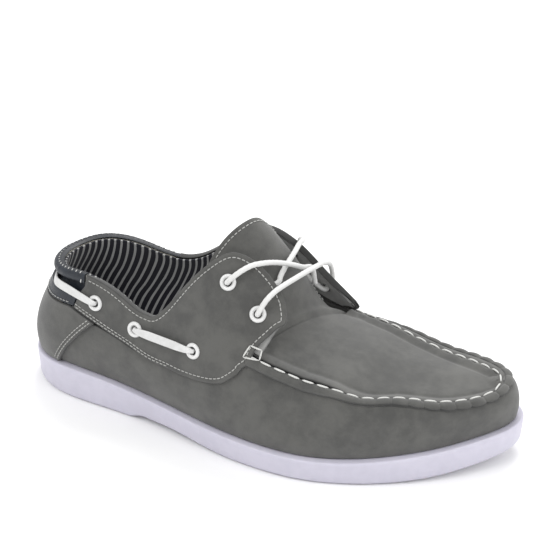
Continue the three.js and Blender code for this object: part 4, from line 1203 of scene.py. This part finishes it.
course = rib(knot_value(x + lean, 0), knot_value(x + lean, 1)) - rib(knot_value(x - lean, 0),
    knot_value(x - lean, 1))
thong_side = unit(np.cross(last_up(knot_value(x, 0), knot_value(x, 1)), course))
thong_run = unit(np.gradient(thong_path, axis=0))
thong_up = unit(np.cross(thong_run, thong_side))
spin = np.linspace(0, 2 * np.pi, 25)[:-1]
flat = np.stack([2.45 * np.sign(np.cos(spin)) * np.abs(np.cos(spin))**0.45,
                 0.7 * np.sign(np.sin(spin)) * np.abs(np.sin(spin))**0.6], -1)
width = knot_value(x, 3)[:, None, None]
section = flat[None] * np.concatenate([width, 1 + 0.35 * (1 - width)], -1)
sweep("side_thong_strip", thong_path, thong_side, thong_up, section, thong_white, ["side_thong"],
    slot="lace_cloth")
print("side thong", round(float(along(thong_path, 0)[-1])), "mm")

# %% [markdown]
# ## Stitching
# A stitch is a short bowed thread: its middle stands up and its ends dip into the leather. One template is
# repeated along a path, so a row of stitches costs one small mesh. The moccasin seam has thick hand stitches;
# everything else is machine sewn with fine thread, 3 mm in from the edge on the flaps and nearer on the top
# line.

# %% Stitches
def stitches(name, path, up, pitch, length, thick, finish, bow=0.25, lean=0.0, start=0.5):
    """Repeats a bowed stitch along a path at a steady pitch; lean turns every stitch about the path's normal.
    Point = middle + X run + Y side + Z up, with the template's X, Y, Z."""
    walk = along(path, 0)
    middle_at = np.arange(start * pitch, walk[-1] - 0.4 * pitch, pitch)

    def pick(column, where):
        return np.stack([np.interp(where, walk, c) for c in column.T], -1)

    head, tail = pick(path, middle_at + length / 2), pick(path, middle_at - length / 2)
    normal = unit(pick(up, middle_at))
    run = unit(head - tail)
    side = unit(np.cross(normal, run))
    run, side = np.cos(lean) * run + np.sin(lean) * side, np.cos(lean) * side - np.sin(lean) * run
    a, turn = np.linspace(-1, 1, 7), np.linspace(0, 2 * np.pi, 7)[:-1]
    radius = thick / 2 * np.sqrt(1 - 0.75 * a**4)
    X = np.repeat(a * length / 2, 6)
    Y = (radius[:, None] * np.cos(turn)).ravel()
    Z = (radius[:, None] * np.sin(turn) + (bow * (1 - a**2) - bow / 2 * a**4)[:, None]).ravel()
    points = ((head + tail)[:, None] / 2 + np.einsum("p,nk->npk", X, run) + np.einsum("p,nk->npk", Y, side)
              + np.einsum("p,nk->npk", Z, normal))
    index = np.arange(42).reshape(7, 6)
    far = np.roll(index, -1, 1)
    quads = np.stack([index[:-1], far[:-1], far[1:], index[1:]], -1).reshape(-1, 4)
    shift = 42 * np.arange(len(run))[:, None, None]
    faces = (quads[None] + shift).reshape(-1, 4).tolist()
    faces += (index[0, ::-1][None] + shift[:, 0]).tolist() + (index[-1][None] + shift[:, 0]).tolist()
    uv = np.tile(np.stack([np.repeat(a * 0, 6) + np.tile(turn, 7) * thick / 2, X], -1), (len(run), 1))
    return build(name, points.reshape(-1, 3), faces, finish, uv=uv, slot="lace_cloth")


def row(u, v, margin, d, inward=1.0):
    """A row of the last at a steady margin inside an edge given by u and v: path and normals. The edge is
    moved along normal x tangent, which points into a piece that is walked counter-clockwise."""
    edge, up = last(u, v, d), last_up(u, v)
    inside_way = unit(np.cross(up, np.gradient(edge, axis=0))) * inward
    path = edge + inside_way * margin
    forward = np.einsum("nk,nk->n", np.gradient(path, axis=0), np.gradient(edge, axis=0)) > 0
    return path[forward], up[forward]


def rim(region, legs, count=400):
    """The edge of a region as u and v, walked along legs of (s from, s to, t from, t to)."""
    k = np.linspace(0, 1, count)
    parts = [region(mix(a, b, k), mix(c, d, k)) for a, b, c, d in legs]
    return np.concatenate([p[0] + 0 * k for p in parts]), np.concatenate([p[1] + 0 * k for p in parts])


FINE = dict(pitch=2.75, length=2.05, thick=0.62, finish=thread_grey, bow=0.16)
S_TOP = SKIN + 0.05
outer_legs = [(0.0, 0.999, 0, 0), (1, 1, 0, 0.999), (1, 0.02, 1, 1)]
inner_legs = [(1, 0.001, 1, 1), (0, 0, 1, 0.001), (0, 1, 0, 0)]
path, up = row(*rim(outer_region, outer_legs), 2.9, S_TOP)
stitches("saddle_outer_stitches", path, up, **FINE)
path, up = row(*rim(inner_region, inner_legs), 2.9, S_TOP)
stitches("saddle_inner_stitches", path, up, **FINE)
for side, region, reach in (("outer", outer_region, (0, 0.62)), ("inner", inner_region, (0.38, 1))):
    path, up = row(*rim(region, [(*reach, 0, 0)]), 1.3, S_TOP)
    stitches(f"saddle_{side}_second_stitches", path, up, start=1.0, **FINE)
for margin in (1.5, 3.4):
    for side, legs, way in (("outer", [(1, 1, 0.02, 0.99)], 1), ("inner", [(0, 0, 0.99, 0.02)], 1)):
        path, up = row(*rim(counter_region, legs), margin, S_TOP, way)
        stitches(f"counter_{side}_stitches_{int(margin)}", path, up, **FINE)
path, up = row(*rim(patch_region, [(0.01, 0.99, 0, 0)]), 1.5, SKIN + 0.2)
stitches("patch_stitches", path, up, **FINE)
for end, legs in (("outer", (1, 1, 0.05, 0.9)), ("inner", (0, 0, 0.9, 0.05))):
    path, up = row(*rim(roll_region, [legs]), 1.6, SKIN + 0.9)
    stitches(f"roll_{end}_stitches", path, up, **{**FINE, "finish": thread_white})
path, up = row(*rim(roll_region, [(0.985, 0.015, 1, 1)]), 0.4, 3.0)
stitches("roll_whip_stitches", path, up, 3.2, 2.4, 0.6, thread_white, lean=np.radians(65))
print("fine rows sewn")

# %% Hand stitches and bar
hole, hole_up = last(seam_u, seam_v(seam_u), 2.75), last_up(seam_u, seam_v(seam_u))
inwards = unit(np.cross([0, 0, 1.0], np.gradient(hole, axis=0)))
hole = hole + inwards * set_in(seam_u)[:, None]
top_points = np.empty(len(toe.data.vertices) * 3)
toe.data.vertices.foreach_get("co", top_points)
top_points = top_points.reshape(-1, 3)[:len(toe.data.vertices) // 2] / MM
flat_top = top_points[:, :2]
under_stitch = ((flat_top**2).sum(1) - 2 * hole[:, :2] @ flat_top.T).argmin(1)
on_plug = smooth(0.5, 2.5, set_in(seam_u))
hole[:, 2] = mix(hole[:, 2], top_points[under_stitch, 2] + 0.35, on_plug)
soft = np.ones(25) / 25
hole[12:-12, 2] = np.convolve(hole[:, 2], soft, "valid")
hole_up = unit(mix(hole_up, np.array([0, 0, 1.0]), 0.8 * on_plug[:, None]))
stitches("moc_hand_stitches", hole, hole_up, PITCH, 6.7, 1.12, thread_white, bow=0.35)


def tongue_row():
    """The tongue's free edge, up one side, over the top and down the other."""
    k = np.linspace(0, 1, 300)
    region = tongue_region(0.02)
    legs = [(mix(0.35, 1, k), 0 * k), (0 * k + 1, k), (mix(1, 0.35, k), 0 * k + 1)]
    s, t = [np.concatenate([leg[i] for leg in legs]) for i in (0, 1)]
    a, w = region(s, t)
    edge = instep(a, w, 0.05)
    up = -normal_of(arch_over, a, w)
    way = unit(np.cross(np.gradient(edge, axis=0), up))
    path = edge + way * 2.6
    forward = np.einsum("nk,nk->n", np.gradient(path, axis=0), np.gradient(edge, axis=0)) > 0
    return path[forward], up[forward]


path, up = tongue_row()
stitches("tongue_stitches", path, up, **FINE)
print("hand stitches", int(seam_walk[-1] / PITCH))

# %% Bar at the end of the seam
corners = np.array([[7.18, 0.498, 4.0], [7.33, 0.564, 4.0], [7.55, 0.573, 3.5], [7.49, 0.518, 3.4]])
spots = last(*corners.T)
for i in range(4):
    k = np.linspace(0, 1, 9)[:, None]
    leg = mix(spots[i], spots[(i + 1) % 4], k)
    leg_up = unit(mix(last_up(*corners[i, :2]), last_up(*corners[(i + 1) % 4, :2]), k))
    reach = float(np.linalg.norm(spots[i] - spots[(i + 1) % 4]))
    stitches(f"bar_stitch_{i + 1}", leg, leg_up, reach, 0.97 * reach, 1.0, thread_white, bow=0.3)
print("bar sewn")

# %% [markdown]
# ## What stays from the CAD
# The stiffener, the insole board and the heel pad are hidden inside the shoe. Their CAD solids are fine as
# they are and only need a material.

# %% Hidden parts
for name, finish in (("insole_board", board), ("heel_pad", foam), ("heel_stiffener", board)):
    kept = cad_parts[name]
    kept.data.materials.clear()
    kept.data.materials.append(finish)
